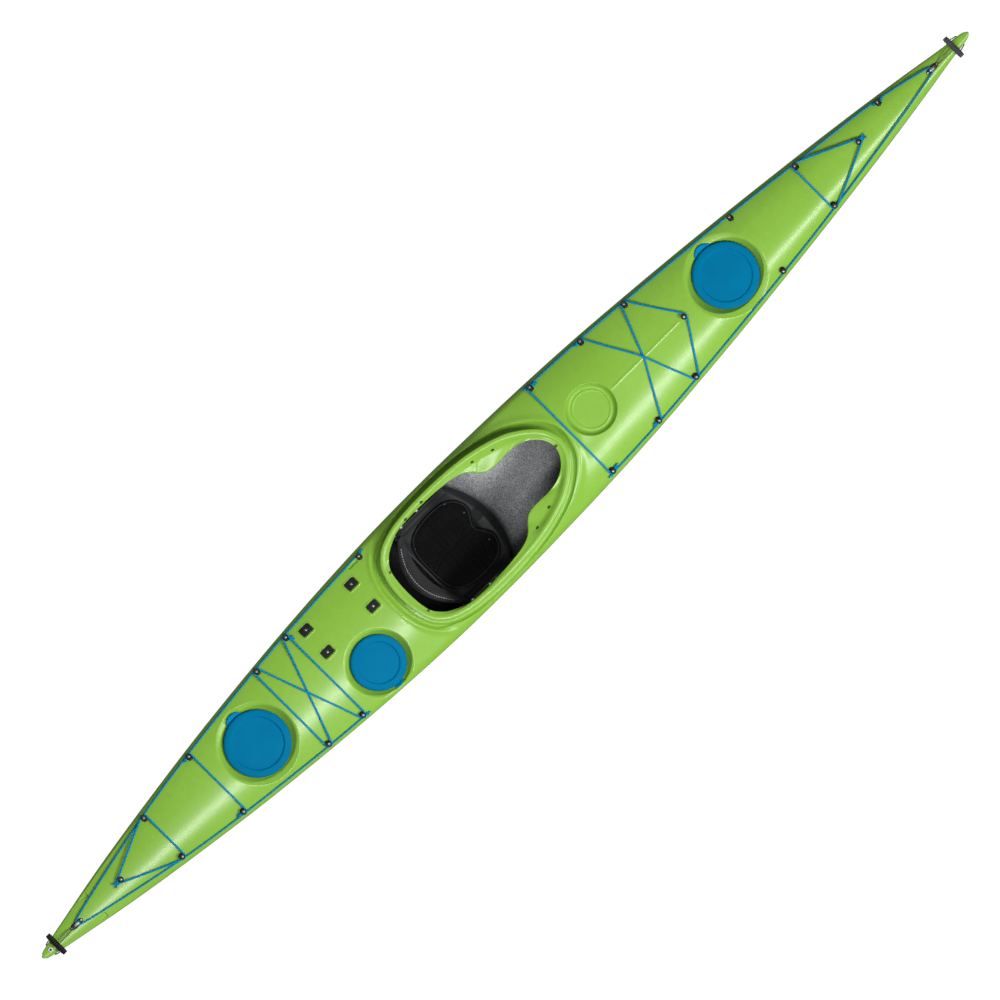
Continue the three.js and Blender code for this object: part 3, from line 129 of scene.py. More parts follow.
ROUTES = {
    "bungee_stern": [(-2176.1,4,344), (-2165,10.3,346.2), (-1926.9,117.8,323.2), (-1921.1,118.8,322.8), (-1915.6,116.9,323.2), (-1911.6,112.6,324.2), (-1910.1,106.9,325.5), (-1910.1,0,327.6), (-1910.1,-106.9,325.5), (-1911.6,-112.6,324.2), (-1915.6,-116.9,323.2), (-1921.1,-118.8,322.8), (-1926.9,-117.8,323.2), (-2164,-10.8,346.2), (-2176.1,-4,344)],
    "bungee_stern_hatch": [(-1644,153.9,310.6), (-1630.6,162.8,306.9), (-1624.6,164.8,306.3), (-1618.4,163.4,306.7), (-1613.8,159,307.8), (-1612.1,152.9,309.5), (-1612.1,101.9,313.6), (-1612.1,51,317.7), (-1612.1,0,318.7), (-1612.1,-51,317.7), (-1612.1,-101.9,313.7), (-1612.1,-152.9,309.5), (-1613.8,-159,307.9), (-1618.4,-163.4,306.7), (-1624.6,-164.8,306.4), (-1630.6,-162.8,306.9), (-1644,-153.9,310.6)],
    "bungee_aft_deck": [(-1005.8,202,287.6), (-1005,216.3,287.8), (-1006.5,222.8,286), (-1011.2,227.5,284.7), (-1017.8,228.9,284.3), (-1024.1,226.5,285), (-1028,221.1,286.5), (-1062.4,126.1,300.2), (-1079.6,78.7,305), (-1096.8,31.2,306.6), (-1114,-16.2,307.2), (-1131.2,-63.7,306.4), (-1148.4,-111.2,303.3), (-1182.8,-206.1,291.5), (-1186.7,-211.4,290.1), (-1192.7,-213.9,289.4), (-1199.2,-212.7,289.8), (-1204.1,-208.3,291.1), (-1205.9,-202,292.9), (-1205.9,-151.5,299.2), (-1205.9,-101,305.4), (-1205.9,-50.5,308.3), (-1205.9,0,309.2), (-1205.9,50.5,308.3), (-1205.9,101,305.4), (-1205.9,151.5,299.2), (-1205.9,202,292.8), (-1204.1,208.3,291), (-1199.2,212.7,289.7), (-1192.7,213.9,289.3), (-1186.7,211.4,290), (-1182.8,206.1,291.5), (-1148.4,111.2,303.2), (-1114,16.2,313.1), (-1096.8,-31.2,312.5), (-1062.4,-126.1,300.2), (-1028,-221.1,286.5), (-1024.2,-226.4,285), (-1018.1,-228.8,284.3), (-1011.6,-227.7,284.6), (-1006.7,-223.3,285.9), (-1004.9,-217,287.7), (-1005.2,-114.7,300.5), (-1005.3,-63.6,304), (-1005.4,-12.5,305), (-1005.5,38.6,304.7), (-1005.6,89.8,303.2), (-1005.7,140.9,297.8), (-1005.8,192,287.6)],
    "bungee_foredeck_single": [(391.9,232.1,313.1), (379.5,242.3,311), (373.4,244.9,309.8), (366.8,243.9,310.1), (361.9,239.5,312), (360,233.1,314.9), (360,181.3,330.8), (360,129.5,342.4), (360,77.7,349.2), (360,25.9,351.5), (360,-25.9,351.5), (360,-77.7,349.1), (360,-129.5,342.2), (360,-181.3,330.5), (360,-233.1,314.9), (361.9,-239.5,312), (366.8,-243.9,310.1), (373.4,-244.9,309.7), (379.5,-242.3,311), (391.9,-232.1,313)],
    "bungee_foredeck": [(622.8,223.4,319.3), (637.3,231,316.8), (643.4,232.3,316.2), (649.4,230.3,317.1), (653.5,225.6,319.1), (677.6,182.3,332.3), (701.7,139,345.1), (773.9,9,373.3), (808.4,-77.6,359), (825.7,-120.9,350.7), (842.9,-164.2,339.3), (860.2,-207.5,326.1), (864.2,-212.2,324), (870.1,-214.2,323.1), (876.2,-213,323.6), (880.9,-208.9,325.5), (934.1,-128,350.6), (960.8,-87.5,360.7), (1014,-6.5,379.2), (1016,0,379.3), (1014,6.5,379.2), (960.8,87.5,360.5), (934.1,128,350.6), (880.9,208.9,325.6), (876.2,213,323.8), (870.1,214.2,323.2), (864.2,212.2,324.1), (860.2,207.5,326.2), (842.9,164.2,339.4), (825.7,120.9,350.8), (808.4,77.6,359), (791.1,34.3,363.3), (773.9,-9,364.1), (749.8,-52.4,360.4), (725.7,-95.7,354.3), (701.7,-139,345.1), (653.5,-225.6,319.2), (649.4,-230.3,317.2), (643.4,-232.3,316.3), (637.3,-231,316.9), (622.8,-223.4,319.4)],
    "bungee_bow": [(2001.3,4,424), (1990.1,10.3,426.4), (1743.9,120.8,384), (1738.1,121.8,383.3), (1732.6,120,384), (1728.6,115.7,385.8), (1727.1,110,388.2), (1727.1,55,398.1), (1727.1,0,400.2), (1727.1,-55,398.1), (1727.1,-110,388.2), (1728.6,-115.7,385.8), (1732.6,-120,384), (1738.1,-121.8,383.3), (1743.9,-120.8,384), (1989.1,-10.9,426.3), (2001.3,-4,424)],
    "deck_line_aft": [(-1000.8,-227.1,277), (-1016.8,-226.1,277), (-1194.1,-211.1,282.1), (-1624.1,-162,299.1), (-1922.2,-116.2,315.5), (-2394.8,-13,347.9), (-2405.8,-8,347.4), (-2408.8,0,347.4), (-2405.8,8,347.4), (-2394.8,13,347.9), (-1922.2,116.2,315.5), (-1624.1,162,299.1), (-1194.1,211.1,282.1), (-1016.8,226.1,277), (-582.9,247.8,273.1), (-566.9,248.8,273.1)],
    "deck_line_fore": [(356,242.1,303), (372,241.1,303), (642.8,228.5,309.4), (870.9,210.4,316.5), (1412.1,157.8,349.3), (1739.3,118,376.6), (2149.5,66.2,417.6), (2382.3,13,455.4), (2393.3,8,454.9), (2396.3,0,454.9), (2393.3,-8,454.9), (2382.3,-13,455.4), (1739.3,-118,376.6), (1412.1,-157.8,349.3), (870.9,-210.4,316.3), (642.8,-228.5,309.5), (372,-241.1,302.9), (356,-242.1,302.9)],
    "stern_toggle_loop": [(-2532.4,31,346.1), (-2538,31.2,340.4), (-2550,27.6,330.6), (-2554,25.3,312.4), (-2554,20.8,309.9), (-2554,0,309.9), (-2554,-20.8,309.9), (-2554,-25.3,312.4), (-2550,-27.6,330.6), (-2538,-31.2,340.4), (-2532.4,-31,346.1)],
    "stern_toggle_keeper": [(-2506.6,7,356.1), (-2489,7,354.1), (-2443,5,348.8), (-2429,0,347.3), (-2443,-5,348.8), (-2489,-7,354.1), (-2506.6,-7,356.1)],
    "bow_toggle_loop": [(2527.4,31,463.2), (2538,27.2,457.8), (2550,24.4,448.3), (2554,22.1,431.9), (2554,17.6,429.4), (2554,0,429.4), (2554,-17.6,429.4), (2554,-22.1,431.9), (2550,-24.4,448.3), (2538,-27.2,457.8), (2527.4,-31,463.2)],
    "bow_toggle_keeper": [(2501.6,7,473.2), (2484,7,471.2), (2430.9,5,456.3), (2416.9,0,454.8), (2430.9,-5,456.3), (2484,-7,471.2), (2501.6,-7,473.2)],
}


# ------------------------------------------------------------------ curves and heights
def curve(table):
    """A smooth curve through a table of (x, y) that never overshoots its points."""
    xs, ys = np.array(table, float).T
    d = np.diff(ys) / np.diff(xs)
    m = np.zeros_like(ys)
    m[0], m[-1] = d[0], d[-1]
    for i in range(1, len(xs) - 1):
        if d[i - 1] * d[i] > 0:
            h0, h1 = xs[i] - xs[i - 1], xs[i + 1] - xs[i]
            w0, w1 = 2 * h1 + h0, h1 + 2 * h0
            m[i] = (w0 + w1) / (w0 / d[i - 1] + w1 / d[i])

    def at(x):
        x = np.clip(np.asarray(x, float), xs[0], xs[-1])
        i = np.clip(np.searchsorted(xs, x, side="right") - 1, 0, len(xs) - 2)
        h = xs[i + 1] - xs[i]
        t = (x - xs[i]) / h
        t2, t3 = t * t, t * t * t
        return (2 * t3 - 3 * t2 + 1) * ys[i] + (t3 - 2 * t2 + t) * h * m[i] + (3 * t2 - 2 * t3) * ys[i + 1] + (t3 - t2) * h * m[i + 1]

    return at


def faired(table, sigma, keep=2300, fade=150):
    """The same curve with its joints eased, except near the two ends."""
    raw = curve(table)
    xs = np.arange(-2600, 2600.1, 4)
    ys = raw(xs)
    n = int(3 * sigma / 4)
    k = np.exp(-0.5 * (np.arange(-n, n + 1) * 4 / sigma) ** 2)
    k /= k.sum()
    pad = np.concatenate([2 * ys[0] - ys[n:0:-1], ys, 2 * ys[-1] - ys[-2:-n - 2:-1]])
    eased = np.convolve(pad, k, "valid")
    w = np.clip((keep + fade - np.abs(xs)) / fade, 0, 1)
    w = w * w * (3 - 2 * w)
    mix = ys * (1 - w) + eased * w
    return lambda x: np.interp(np.asarray(x, float), xs, mix)


def smooth(a, b, x):
    t = np.clip((np.asarray(x, float) - a) / (b - a), 0, 1)
    return t * t * (3 - 2 * t)


def smin(a, b, k):
    h = np.clip(0.5 + 0.5 * (b - a) / k, 0, 1)
    return b * (1 - h) + a * h - k * h * (1 - h)


def bump(d, sigma):
    return np.exp(-0.5 * (d / sigma) ** 2)


_beam_mid, _beam_end = faired(BEAM, 60), curve(BEAM)
crown, camber, gable = faired(CROWN, 70, 2480, 100), faired(CAMBER, 70, 2480, 100), faired(GABLE, 30)
keel = curve(KEEL)


def beam(x):
    x = np.asarray(x, float)
    w = smooth(2250, 2420, np.abs(x))
    b = _beam_mid(x) * (1 - w) + _beam_end(x) * w
    t = np.clip((np.abs(x) - 2591) / 9, 0, 1)
    return np.minimum(b, 2.2 + 6 * np.sqrt(np.maximum(0, 1 - t * t)) + 1000 * np.clip(2591 - np.abs(x), 0, 1))


def edge_drop(x):
    return 6 + 10 * beam(x) / 274


def _sp(z, k=0.012):
    return k * np.logaddexp(0, z / k)


def deck_at(x, f):
    """Height of the plain deck at a share f of the half width."""
    g = gable(x)
    soft = np.sqrt(f * f + 0.0003) - 0.0173
    e = _sp(f - 0.9, 0.01) / _sp(0.1, 0.01)
    return crown(x) - camber(x) * ((1 - g) * f ** 2.3 + g * soft) - edge_drop(x) * e * e


def deck(x, y):
    return deck_at(x, np.minimum(1, np.abs(y) / beam(x)))


def rim_z(x):
    return 318 + 63 * (np.asarray(x, float) + 585) / 902


def catmull(points, closed=False, step=4.0):
    """Points along a centripetal Catmull-Rom curve, about one step apart."""
    P = [np.array(p, float) for p in points]
    n = len(P)
    out = []
    for i in range(n if closed else n - 1):
        p1, p2 = P[i], P[(i + 1) % n]
        p0 = P[i - 1] if (closed or i > 0) else 2 * p1 - p2
        p3 = P[(i + 2) % n] if (closed or i + 2 < n) else 2 * p2 - p1
        d0, d1, d2 = [max(1e-6, np.linalg.norm(b - a)) ** 0.5 for a, b in ((p0, p1), (p1, p2), (p2, p3))]
        m1 = (p1 - p0) / d0 - (p2 - p0) / (d0 + d1) + (p2 - p1) / d1
        m2 = (p2 - p1) / d1 - (p3 - p1) / (d1 + d2) + (p3 - p2) / d2
        k = max(1, int(round(np.linalg.norm(p2 - p1) / step)))
        for j in range(k):
            t = j / k
            out.append((2 * t ** 3 - 3 * t * t + 1) * p1 + (t ** 3 - 2 * t * t + t) * d1 * m1 + (3 * t * t - 2 * t ** 3) * p2 + (t ** 3 - t * t) * d1 * m2)
    if not closed:
        out.append(P[-1])
    return np.array(out)


def even(points, count, closed=False):
    P = np.array(points, float)
    if closed:
        P = np.vstack([P, P[:1]])
    s = np.concatenate([[0], np.cumsum(np.linalg.norm(np.diff(P, axis=0), axis=1))])
    t = np.linspace(0, s[-1], count + 1 if closed else count)
    Q = np.stack([np.interp(t, s, P[:, k]) for k in range(P.shape[1])], 1)
    return Q[:-1] if closed else Q


def outline(half, count):
    pts = list(half) + [(x, -y) for x, y in half[-2:0:-1]]
    return even(catmull(pts, True, 2.0), count, True)


RIM_N = 560
LIP_C = outline(LIP, RIM_N)
_t = np.roll(LIP_C, -1, 0) - np.roll(LIP_C, 1, 0)
_t /= np.linalg.norm(_t, axis=1)[:, None]
LIP_NRM = np.stack([_t[:, 1], -_t[:, 0]], 1)
if (LIP_NRM[0] * (LIP_C[0] - [-130, 0])).sum() < 0:
    LIP_NRM = -LIP_NRM


def lip_distance(x, y):
    """Signed distance out from the lip's outline, with the nearest lip point's index; far points get 999."""
    shape = np.shape(x)
    X, Y = np.ravel(x), np.ravel(y)
    d = np.full(X.shape, 999.0)
    k = np.zeros(X.shape, int)
    near = np.flatnonzero((X > -720) & (X < 440) & (np.abs(Y) < 330))
    for a in range(0, len(near), 20000):
        idx = near[a:a + 20000]
        dx = X[idx, None] - LIP_C[None, ::2, 0]
        dy = Y[idx, None] - LIP_C[None, ::2, 1]
        j = (dx * dx + dy * dy).argmin(1) * 2
        best = None
        for off in (-1, 0, 1):
            jj = (j + off) % RIM_N
            p, n = LIP_C[jj], LIP_NRM[jj]
            nxt = LIP_C[(jj + 1) % RIM_N]
            e = nxt - p
            L2 = (e * e).sum(1)
            t = np.clip(((X[idx] - p[:, 0]) * e[:, 0] + (Y[idx] - p[:, 1]) * e[:, 1]) / L2, 0, 1)
            q = p + e * t[:, None]
            v = np.stack([X[idx], Y[idx]], 1) - q
            dist = np.hypot(v[:, 0], v[:, 1])
            sgn = np.sign((v * n).sum(1) + 1e-9)
            if best is None:
                best, kk = dist * sgn, jj.copy()
            else:
                better = dist < np.abs(best)
                best = np.where(better, dist * sgn, best)
                kk = np.where(better, jj, kk)
        d[idx], k[idx] = best, kk
    return d.reshape(shape), k.reshape(shape)


def bowl(z, x, y, p, n, outer, inner, depth, k=3.0, bevel=0.0, power=2.0):
    """A dished recess: a flat floor square to n that curves up to an eased edge."""
    dx, dy = x - p[0], y - p[1]
    zp = p[2] - (n[0] * dx + n[1] * dy) / n[2]
    r = np.sqrt(dx * dx + dy * dy + (zp - p[2]) ** 2)
    if bevel:
        z = np.where(r < outer + bevel + 8, smin(z, z - 0.5 * (outer + bevel - r), 1.6), z)
    h = zp - depth + (depth - 0.5 * bevel) * (np.maximum(0, r - inner) / (outer - inner)) ** power
    return smin(z, h, k)


def height(x, y):
    """Height of the finished deck, with its recesses, trough, ridge and notches."""
    x, y = np.asarray(x, float), np.asarray(y, float)
    z = deck(x, y)
    # ridge along the middle of the foredeck
    z = z + 1.5 * bump(y, 3.2) * smooth(590, 612, x) * smooth(990, 968, x)
    # trough round the cockpit rim, with the shoulder outside it
    d, _ = lip_distance(x, y)
    near = d < 120
    aft = smooth(-500, -575, x)
    port = smooth(-30, 60, y)
    fore = smooth(-20, 190, x)
    z = z + np.where(near, (4.0 * bump(d - 43, 7)) * aft, 0)
    z = z + np.where(near, 5.0 * bump(d - 37, 11) * fore, 0)
    reach = 23 + 13 * aft + 9 * fore * port
    deep = 13 + 5 * port
    trough = z - deep + deep * (np.maximum(0, d - 5) / (reach - 5)) ** 2
    z = np.where(near, smin(z, trough, 2.0), z)
    z = z + np.where(near, 4.2 * bump(d - 16.5, 2.4) * aft, 0)
    # hatches
    for name, (p, n, cover, recess, depth, tab, side) in HATCHES.items():
        inner = cover - 4
        bevel = {"stern": 6, "day": 4, "bow": 10}[name]
        z = bowl(z, x, y, p, n, recess + 1 - bevel * 0.5, inner, depth + 6, 2.2, bevel, 1.25)
        zp = p[2] - (n[0] * (x - p[0]) + n[1] * (y - p[1])) / n[2]
        if name != "day":
            # pocket outboard of the tab
            rho = np.sqrt(((x - p[0]) / 62) ** 2 + ((y - p[1] - 125) / 57) ** 2)
            z = np.where(rho < 1.4, smin(z, zp - depth + 2 + (depth - 1) * rho ** 5, 3), z)
        else:
            rho = np.sqrt(((x - p[0]) / 34) ** 2 + ((y - p[1] + 122) / 22) ** 2)
            z = np.where(rho < 1.5, z - 9 * np.maximum(0, 1 - rho ** 4) * smooth(-247, -226, y), z)
    # round foredeck recess
    p, n, r1, ring, depth = COMPASS
    z = bowl(z, x, y, p, n, r1 + 2, r1 - 16, depth, 5.0)
    r = np.hypot(x - p[0], y)
    z = z + 2.4 * bump(r - ring, 1.9)
    # wedge notches by the stern lines
    w = np.clip((x + 2341) / 43, 0, 1.2)
    inside = smooth(9.5 * w + 1.2, 9.5 * w - 1.4, np.abs(np.abs(y) - 55.6)) * smooth(-2343, -2338, x) * smooth(-2295.5, -2298.5, x)
    z = z - 5.5 * np.minimum(1, w) * inside
    # slot beside the cockpit
    q = np.hypot(np.maximum(0, np.abs(x + 623) - 20), y - 235)
    z = z - 5.5 * smooth(7.0, 4.0, q)
    # raised frames that the deck pads sit in
    for p, n in PADS.values():
        qx, qy = np.abs(x - p[0]), np.abs(y - p[1])
        q = np.hypot(np.maximum(0, qx - 21), np.maximum(0, qy - 13.5))
        z = z + 1.6 * bump(q - 9.2, 1.9) - 2.0 * smooth(7, 5, q)
    return z


def normal_at(x, y, fn=None, h=0.7):
    fn = fn or height
    gx = (fn(x + h, y) - fn(x - h, y)) / (2 * h)
    gy = (fn(x, y + h) - fn(x, y - h)) / (2 * h)
    n = np.stack([-gx, -gy, np.ones_like(gx)], -1)
    return n / np.linalg.norm(n, axis=-1, keepdims=True)


# ------------------------------------------------------------------ mesh helpers
def make(name, verts, faces, mats=(), index=None, loops=None, flat=False, uv=None):
    me = bpy.data.meshes.new(name)
    me.from_pydata((np.asarray(verts, float) * MM).tolist(), [], faces)
    for m in mats:
        me.materials.append(m)
    if index is not None:
        me.polygons.foreach_set("material_index", np.asarray(index, np.int32))
    me.polygons.foreach_set("use_smooth", [not flat] * len(me.polygons))
    if uv is not None:
        layer = me.uv_layers.new(name="along")
        vi = np.empty(len(me.loops), np.int32)
        me.loops.foreach_get("vertex_index", vi)
        layer.data.foreach_set("uv", np.asarray(uv, np.float32)[vi].ravel() if len(uv) == len(verts) else np.asarray(uv, np.float32).ravel())
    me.update()
    if loops is not None:
        me.normals_split_custom_set(loops.tolist())
    ob = bpy.data.objects.new(name, me)
    bpy.context.scene.collection.objects.link(ob)
    return ob


def crease(ob, degrees=40):
    """Splits the shading along edges sharper than this."""
    me = ob.data
    try:
        me.set_sharp_from_angle(angle=math.radians(degrees))
    except Exception:
        pass
    return ob


def grid_faces(rows, cols, close_rows=False, close_cols=False, base=0, flip=False):
    out = []
    for i in range(rows if close_rows else rows - 1):
        i2 = (i + 1) % rows
        for j in range(cols if close_cols else cols - 1):
            j2 = (j + 1) % cols
            q = [base + i * cols + j, base + i2 * cols + j, base + i2 * cols + j2, base + i * cols + j2]
            out.append(q[::-1] if flip else q)
    return out


def frame_of(n, spin=0.0):
    """Axes of a piece that stands along n."""
    z = np.array(n, float)
    z /= np.linalg.norm(z)
    x = np.array([1.0, 0, 0]) - z * z[0]
    x /= np.linalg.norm(x)
    y = np.cross(z, x)
    c, s = math.cos(spin), math.sin(spin)
    return np.stack([x * c + y * s, y * c - x * s, z])


def placed(points, p, n, spin=0.0):
    return np.asarray(points, float) @ frame_of(n, spin) + np.array(p, float)


def round_profile(points, radii, steps=4):
    """An outline of (r, z) with its corners rounded."""
    P = [np.array(p, float) for p in points]
    out = [P[0]]
    for i in range(1, len(P) - 1):
        r = radii[i] if isinstance(radii, (list, tuple)) else radii
        a, b, c = P[i - 1], P[i], P[i + 1]
        u, v = a - b, c - b
        lu, lv = np.linalg.norm(u), np.linalg.norm(v)
        k = min(r, lu * 0.48, lv * 0.48)
        if k < 0.02:
            out.append(b)
            continue
        s, e = b + u / lu * k, b + v / lv * k
        for j in range(steps + 1):
            t = j / steps
            out.append((1 - t) ** 2 * s + 2 * t * (1 - t) * b + t * t * e)
    out.append(P[-1])
    return np.array(out)


def lathe(profile, sides, closed=False):
    """Vertices and faces of a turned piece about +Z, outside outwards for a profile that runs up its outer side."""
    P = np.array(profile, float)
    axis_lo, axis_hi = (not closed) and P[0, 0] < 1e-6, (not closed) and P[-1, 0] < 1e-6
    a = np.arange(sides) * 2 * math.pi / sides
    body = P[(1 if axis_lo else 0):(len(P) - 1 if axis_hi else len(P))]
    v = np.stack([np.outer(body[:, 0], np.cos(a)), np.outer(body[:, 0], np.sin(a)), np.repeat(body[:, 1:2], sides, 1)], -1).reshape(-1, 3)
    m = len(body)
    faces = []
    for i in range(m if closed else m - 1):
        i2 = (i + 1) % m
        for j in range(sides):
            k = (j + 1) % sides
            faces.append([i * sides + j, i * sides + k, i2 * sides + k, i2 * sides + j])
    verts = list(v)
    if axis_lo:
        verts.append(np.array([0, 0, P[0, 1]]))
        c = len(verts) - 1
        for j in range(sides):
            faces.append([c, (j + 1) % sides, j])
    if axis_hi:
        verts.append(np.array([0, 0, P[-1, 1]]))
        c = len(verts) - 1
        b = (m - 1) * sides
        for j in range(sides):
            faces.append([c, b + j, b + (j + 1) % sides])
    return np.array(verts), faces


def merge(*parts):
    """Joins (verts, faces) pairs into one."""
    V, F = [], []
    base = 0
    for v, f in parts:
        V.append(np.asarray(v, float))
        F += [[i + base for i in q] for q in f]
        base += len(v)
    return np.vstack(V), F


def tube(points, r, sides=12, cap=True, step=None, closed=False):
    """A round tube along points, with the distance along it and the share round it for its weave."""
    P = np.asarray(points, float)
    if step:
        P = catmull(P, closed, step)
    n = len(P)
    if closed:
        T = np.roll(P, -1, 0) - np.roll(P, 1, 0)
    else:
        T = np.gradient(P, axis=0)
    T /= np.linalg.norm(T, axis=1)[:, None]
    up = np.array([0, 0, 1.0])
    if abs(T[0] @ up) > 0.9:
        up = np.array([1.0, 0, 0])
    N = np.zeros_like(P)
    v = up - T[0] * (up @ T[0])
    N[0] = v / np.linalg.norm(v)
    for i in range(1, n):
        v = N[i - 1] - T[i] * (N[i - 1] @ T[i])
        N[i] = v / np.linalg.norm(v)
    B = np.cross(T, N)
    a = np.arange(sides) * 2 * math.pi / sides
    rr = np.full(n, r) if np.isscalar(r) else np.asarray(r)
    V = P[:, None] + rr[:, None, None] * (np.cos(a)[None, :, None] * N[:, None] + np.sin(a)[None, :, None] * B[:, None])
    s = np.concatenate([[0], np.cumsum(np.linalg.norm(np.diff(P, axis=0), axis=1))])
    faces, uvs = [], []
    for i in range(n if closed else n - 1):
        i2 = (i + 1) % n
        s2 = s[i2] if i2 > i else s[i] + np.linalg.norm(P[0] - P[-1])
        for j in range(sides):
            k = (j + 1) % sides
            faces.append([i * sides + j, i * sides + k, i2 * sides + k, i2 * sides + j])
            uvs += [(s[i] * MM, j / sides), (s[i] * MM, (j + 1) / sides), (s2 * MM, (j + 1) / sides), (s2 * MM, j / sides)]
    if cap and not closed:
        faces.append([j for j in range(sides)][::-1])
        uvs += [(0, 0.5)] * sides
        faces.append([(n - 1) * sides + j for j in range(sides)])
        uvs += [(s[-1] * MM, 0.5)] * sides
    return V.reshape(-1, 3), faces, uvs


def join_uv(*parts):
    V, F, U = [], [], []
    base = 0
    for v, f, u in parts:
        V.append(np.asarray(v, float))
        F += [[i + base for i in q] for q in f]
        U += u
        base += len(v)
    return np.vstack(V), F, U


# ------------------------------------------------------------------ materials
def srgb(c):
    return tuple(((v / 255) / 12.92 if v / 255 <= 0.04045 else ((v / 255 + 0.055) / 1.055) ** 2.4) for v in c) + (1.0,)


lin = srgb


class Mat:
    """A procedural material under construction."""

    def __init__(self, name, rough=0.5, metallic=0.0, specular=0.5, coat=0.0, coat_rough=0.2, sheen=0.0, ior=1.5):
        self.m = bpy.data.materials.new(name)
        self.m.use_nodes = True
        self.nt = self.m.node_tree
        self.b = next(n for n in self.nt.nodes if n.type == "BSDF_PRINCIPLED")
        self.b.inputs["Roughness"].default_value = rough
        self.b.inputs["Metallic"].default_value = metallic
        self.b.inputs["IOR"].default_value = ior
        self.b.inputs["Specular IOR Level"].default_value = specular
        self.b.inputs["Coat Weight"].default_value = coat
        self.b.inputs["Coat Roughness"].default_value = coat_rough
        self.b.inputs["Sheen Weight"].default_value = sheen
        self.coord = self.node("ShaderNodeTexCoord").outputs["Object"]

    def node(self, kind, **props):
        n = self.nt.nodes.new(kind)
        for k, v in props.items():
            setattr(n, k, v)
        return n

    def link(self, a, b):
        self.nt.links.new(a, b)

    def noise(self, scale, detail=2.0, rough=0.5, distortion=0.0, vector=None, stretch=None):
        n = self.node("ShaderNodeTexNoise")
        n.inputs["Scale"].default_value = scale
        n.inputs["Detail"].default_value = detail
        n.inputs["Roughness"].default_value = rough
        n.inputs["Distortion"].default_value = distortion
        v = vector or self.coord
        if stretch:
            m = self.node("ShaderNodeMapping")
            m.inputs["Scale"].default_value = stretch
            self.link(v, m.inputs["Vector"])
            v = m.outputs["Vector"]
        self.link(v, n.inputs["Vector"])
        return n.outputs["Fac"]

    def voronoi(self, scale, feature="F1", vector=None, out="Distance"):
        n = self.node("ShaderNodeTexVoronoi", feature=feature)
        n.inputs["Scale"].default_value = scale
        self.link(vector or self.coord, n.inputs["Vector"])
        return n.outputs[out]

    def math(self, op, a, b=None, c=None, clamp=False):
        n = self.node("ShaderNodeMath", operation=op, use_clamp=clamp)
        for i, v in enumerate((a, b, c)):
            if v is None:
                continue
            if isinstance(v, (int, float)):
                n.inputs[i].default_value = v
            else:
                self.link(v, n.inputs[i])
        return n.outputs[0]

    def ramp(self, fac, stops, interpolation="LINEAR"):
        n = self.node("ShaderNodeValToRGB")
        n.color_ramp.interpolation = interpolation
        e = n.color_ramp.elements
        while len(e) < len(stops):
            e.new(0.5)
        for el, (pos, col) in zip(e, stops):
            el.position = pos
            el.color = col if len(col) == 4 else tuple(col) + (1.0,)
        self.link(fac, n.inputs["Fac"])
        return n.outputs["Color"]

    def map(self, v, a, b, c, d, clamp=True):
        n = self.node("ShaderNodeMapRange", clamp=clamp)
        self.link(v, n.inputs["Value"])
        for k, x in zip(("From Min", "From Max", "To Min", "To Max"), (a, b, c, d)):
            n.inputs[k].default_value = x
        return n.outputs["Result"]

    def mix(self, fac, a, b, blend="MIX"):
        n = self.node("ShaderNodeMix", data_type="RGBA", blend_type=blend)
        for sock, v in ((n.inputs[0], fac), (n.inputs[6], a), (n.inputs[7], b)):
            if isinstance(v, (int, float)):
                sock.default_value = v
            elif isinstance(v, tuple):
                sock.default_value = v
            else:
                self.link(v, sock)
        return n.outputs[2]

    def color(self, c):
        if isinstance(c, tuple):
            self.b.inputs["Base Color"].default_value = c
        else:
            self.link(c, self.b.inputs["Base Color"])
        return self

    def rough(self, v):
        self.link(v, self.b.inputs["Roughness"])
        return self

    def bump(self, height, strength=0.3, distance=0.0005, below=None):
        n = self.node("ShaderNodeBump")
        n.inputs["Strength"].default_value = strength
        n.inputs["Distance"].default_value = distance
        self.link(height, n.inputs["Height"])
        if below is not None:
            self.link(below, n.inputs["Normal"])
        self.link(n.outputs["Normal"], self.b.inputs["Normal"])
        return n.outputs["Normal"]

    def separate(self, v):
        n = self.node("ShaderNodeSeparateXYZ")
        self.link(v, n.inputs[0])
        return n.outputs


def edge_wear(m, low, high):
    """Share of worn edge, from how the surface turns (Geometry's Pointiness)."""
    g = m.node("ShaderNodeNewGeometry")
    return m.map(g.outputs["Pointiness"], low, high, 0.0, 1.0)


def lime_material(name, k=1.0):
    def lin(c):
        return tuple(v * k for v in srgb(c)[:3]) + (1.0,)

    m = Mat(name, rough=0.22, specular=0.5)
    broad = m.noise(2.3, 3, 0.55)
    mottle = m.noise(38, 4, 0.6)
    grain = m.noise(520, 3, 0.6)
    speck = m.voronoi(900)
    base = m.mix(m.map(broad, 0.3, 0.7, 0, 1), lin((131, 180, 60)), lin((137, 186, 67)))
    base = m.mix(m.map(mottle, 0.42, 0.62, 0, 0.30), base, lin((126, 175, 56)))
    base = m.mix(m.map(grain, 0.55, 0.75, 0, 0.18), base, lin((146, 194, 78)))
    worn = edge_wear(m, 0.52, 0.60)
    base = m.mix(m.math("MULTIPLY", worn, 0.3), base, lin((158, 202, 100)))
    # short hairline scuffs along the boat
    scr = m.noise(60, 2, 0.5, stretch=(0.6, 9, 9))
    scuff = m.map(scr, 0.69, 0.73, 0, 1)
    base = m.mix(m.math("MULTIPLY", scuff, 0.10), base, lin((166, 206, 112)))
    m.color(base)
    r = m.map(mottle, 0.3, 0.7, 0.225, 0.24)
    m.rough(m.math("ADD", r, m.math("MULTIPLY", scuff, 0.02)))
    b0 = m.bump(m.noise(26, 2, 0.4), 0.012, 0.0006)
    m.bump(m.math("ADD", grain, m.math("MULTIPLY", speck, 0.4)), 0.006, 0.00015, b0)
    return m.m


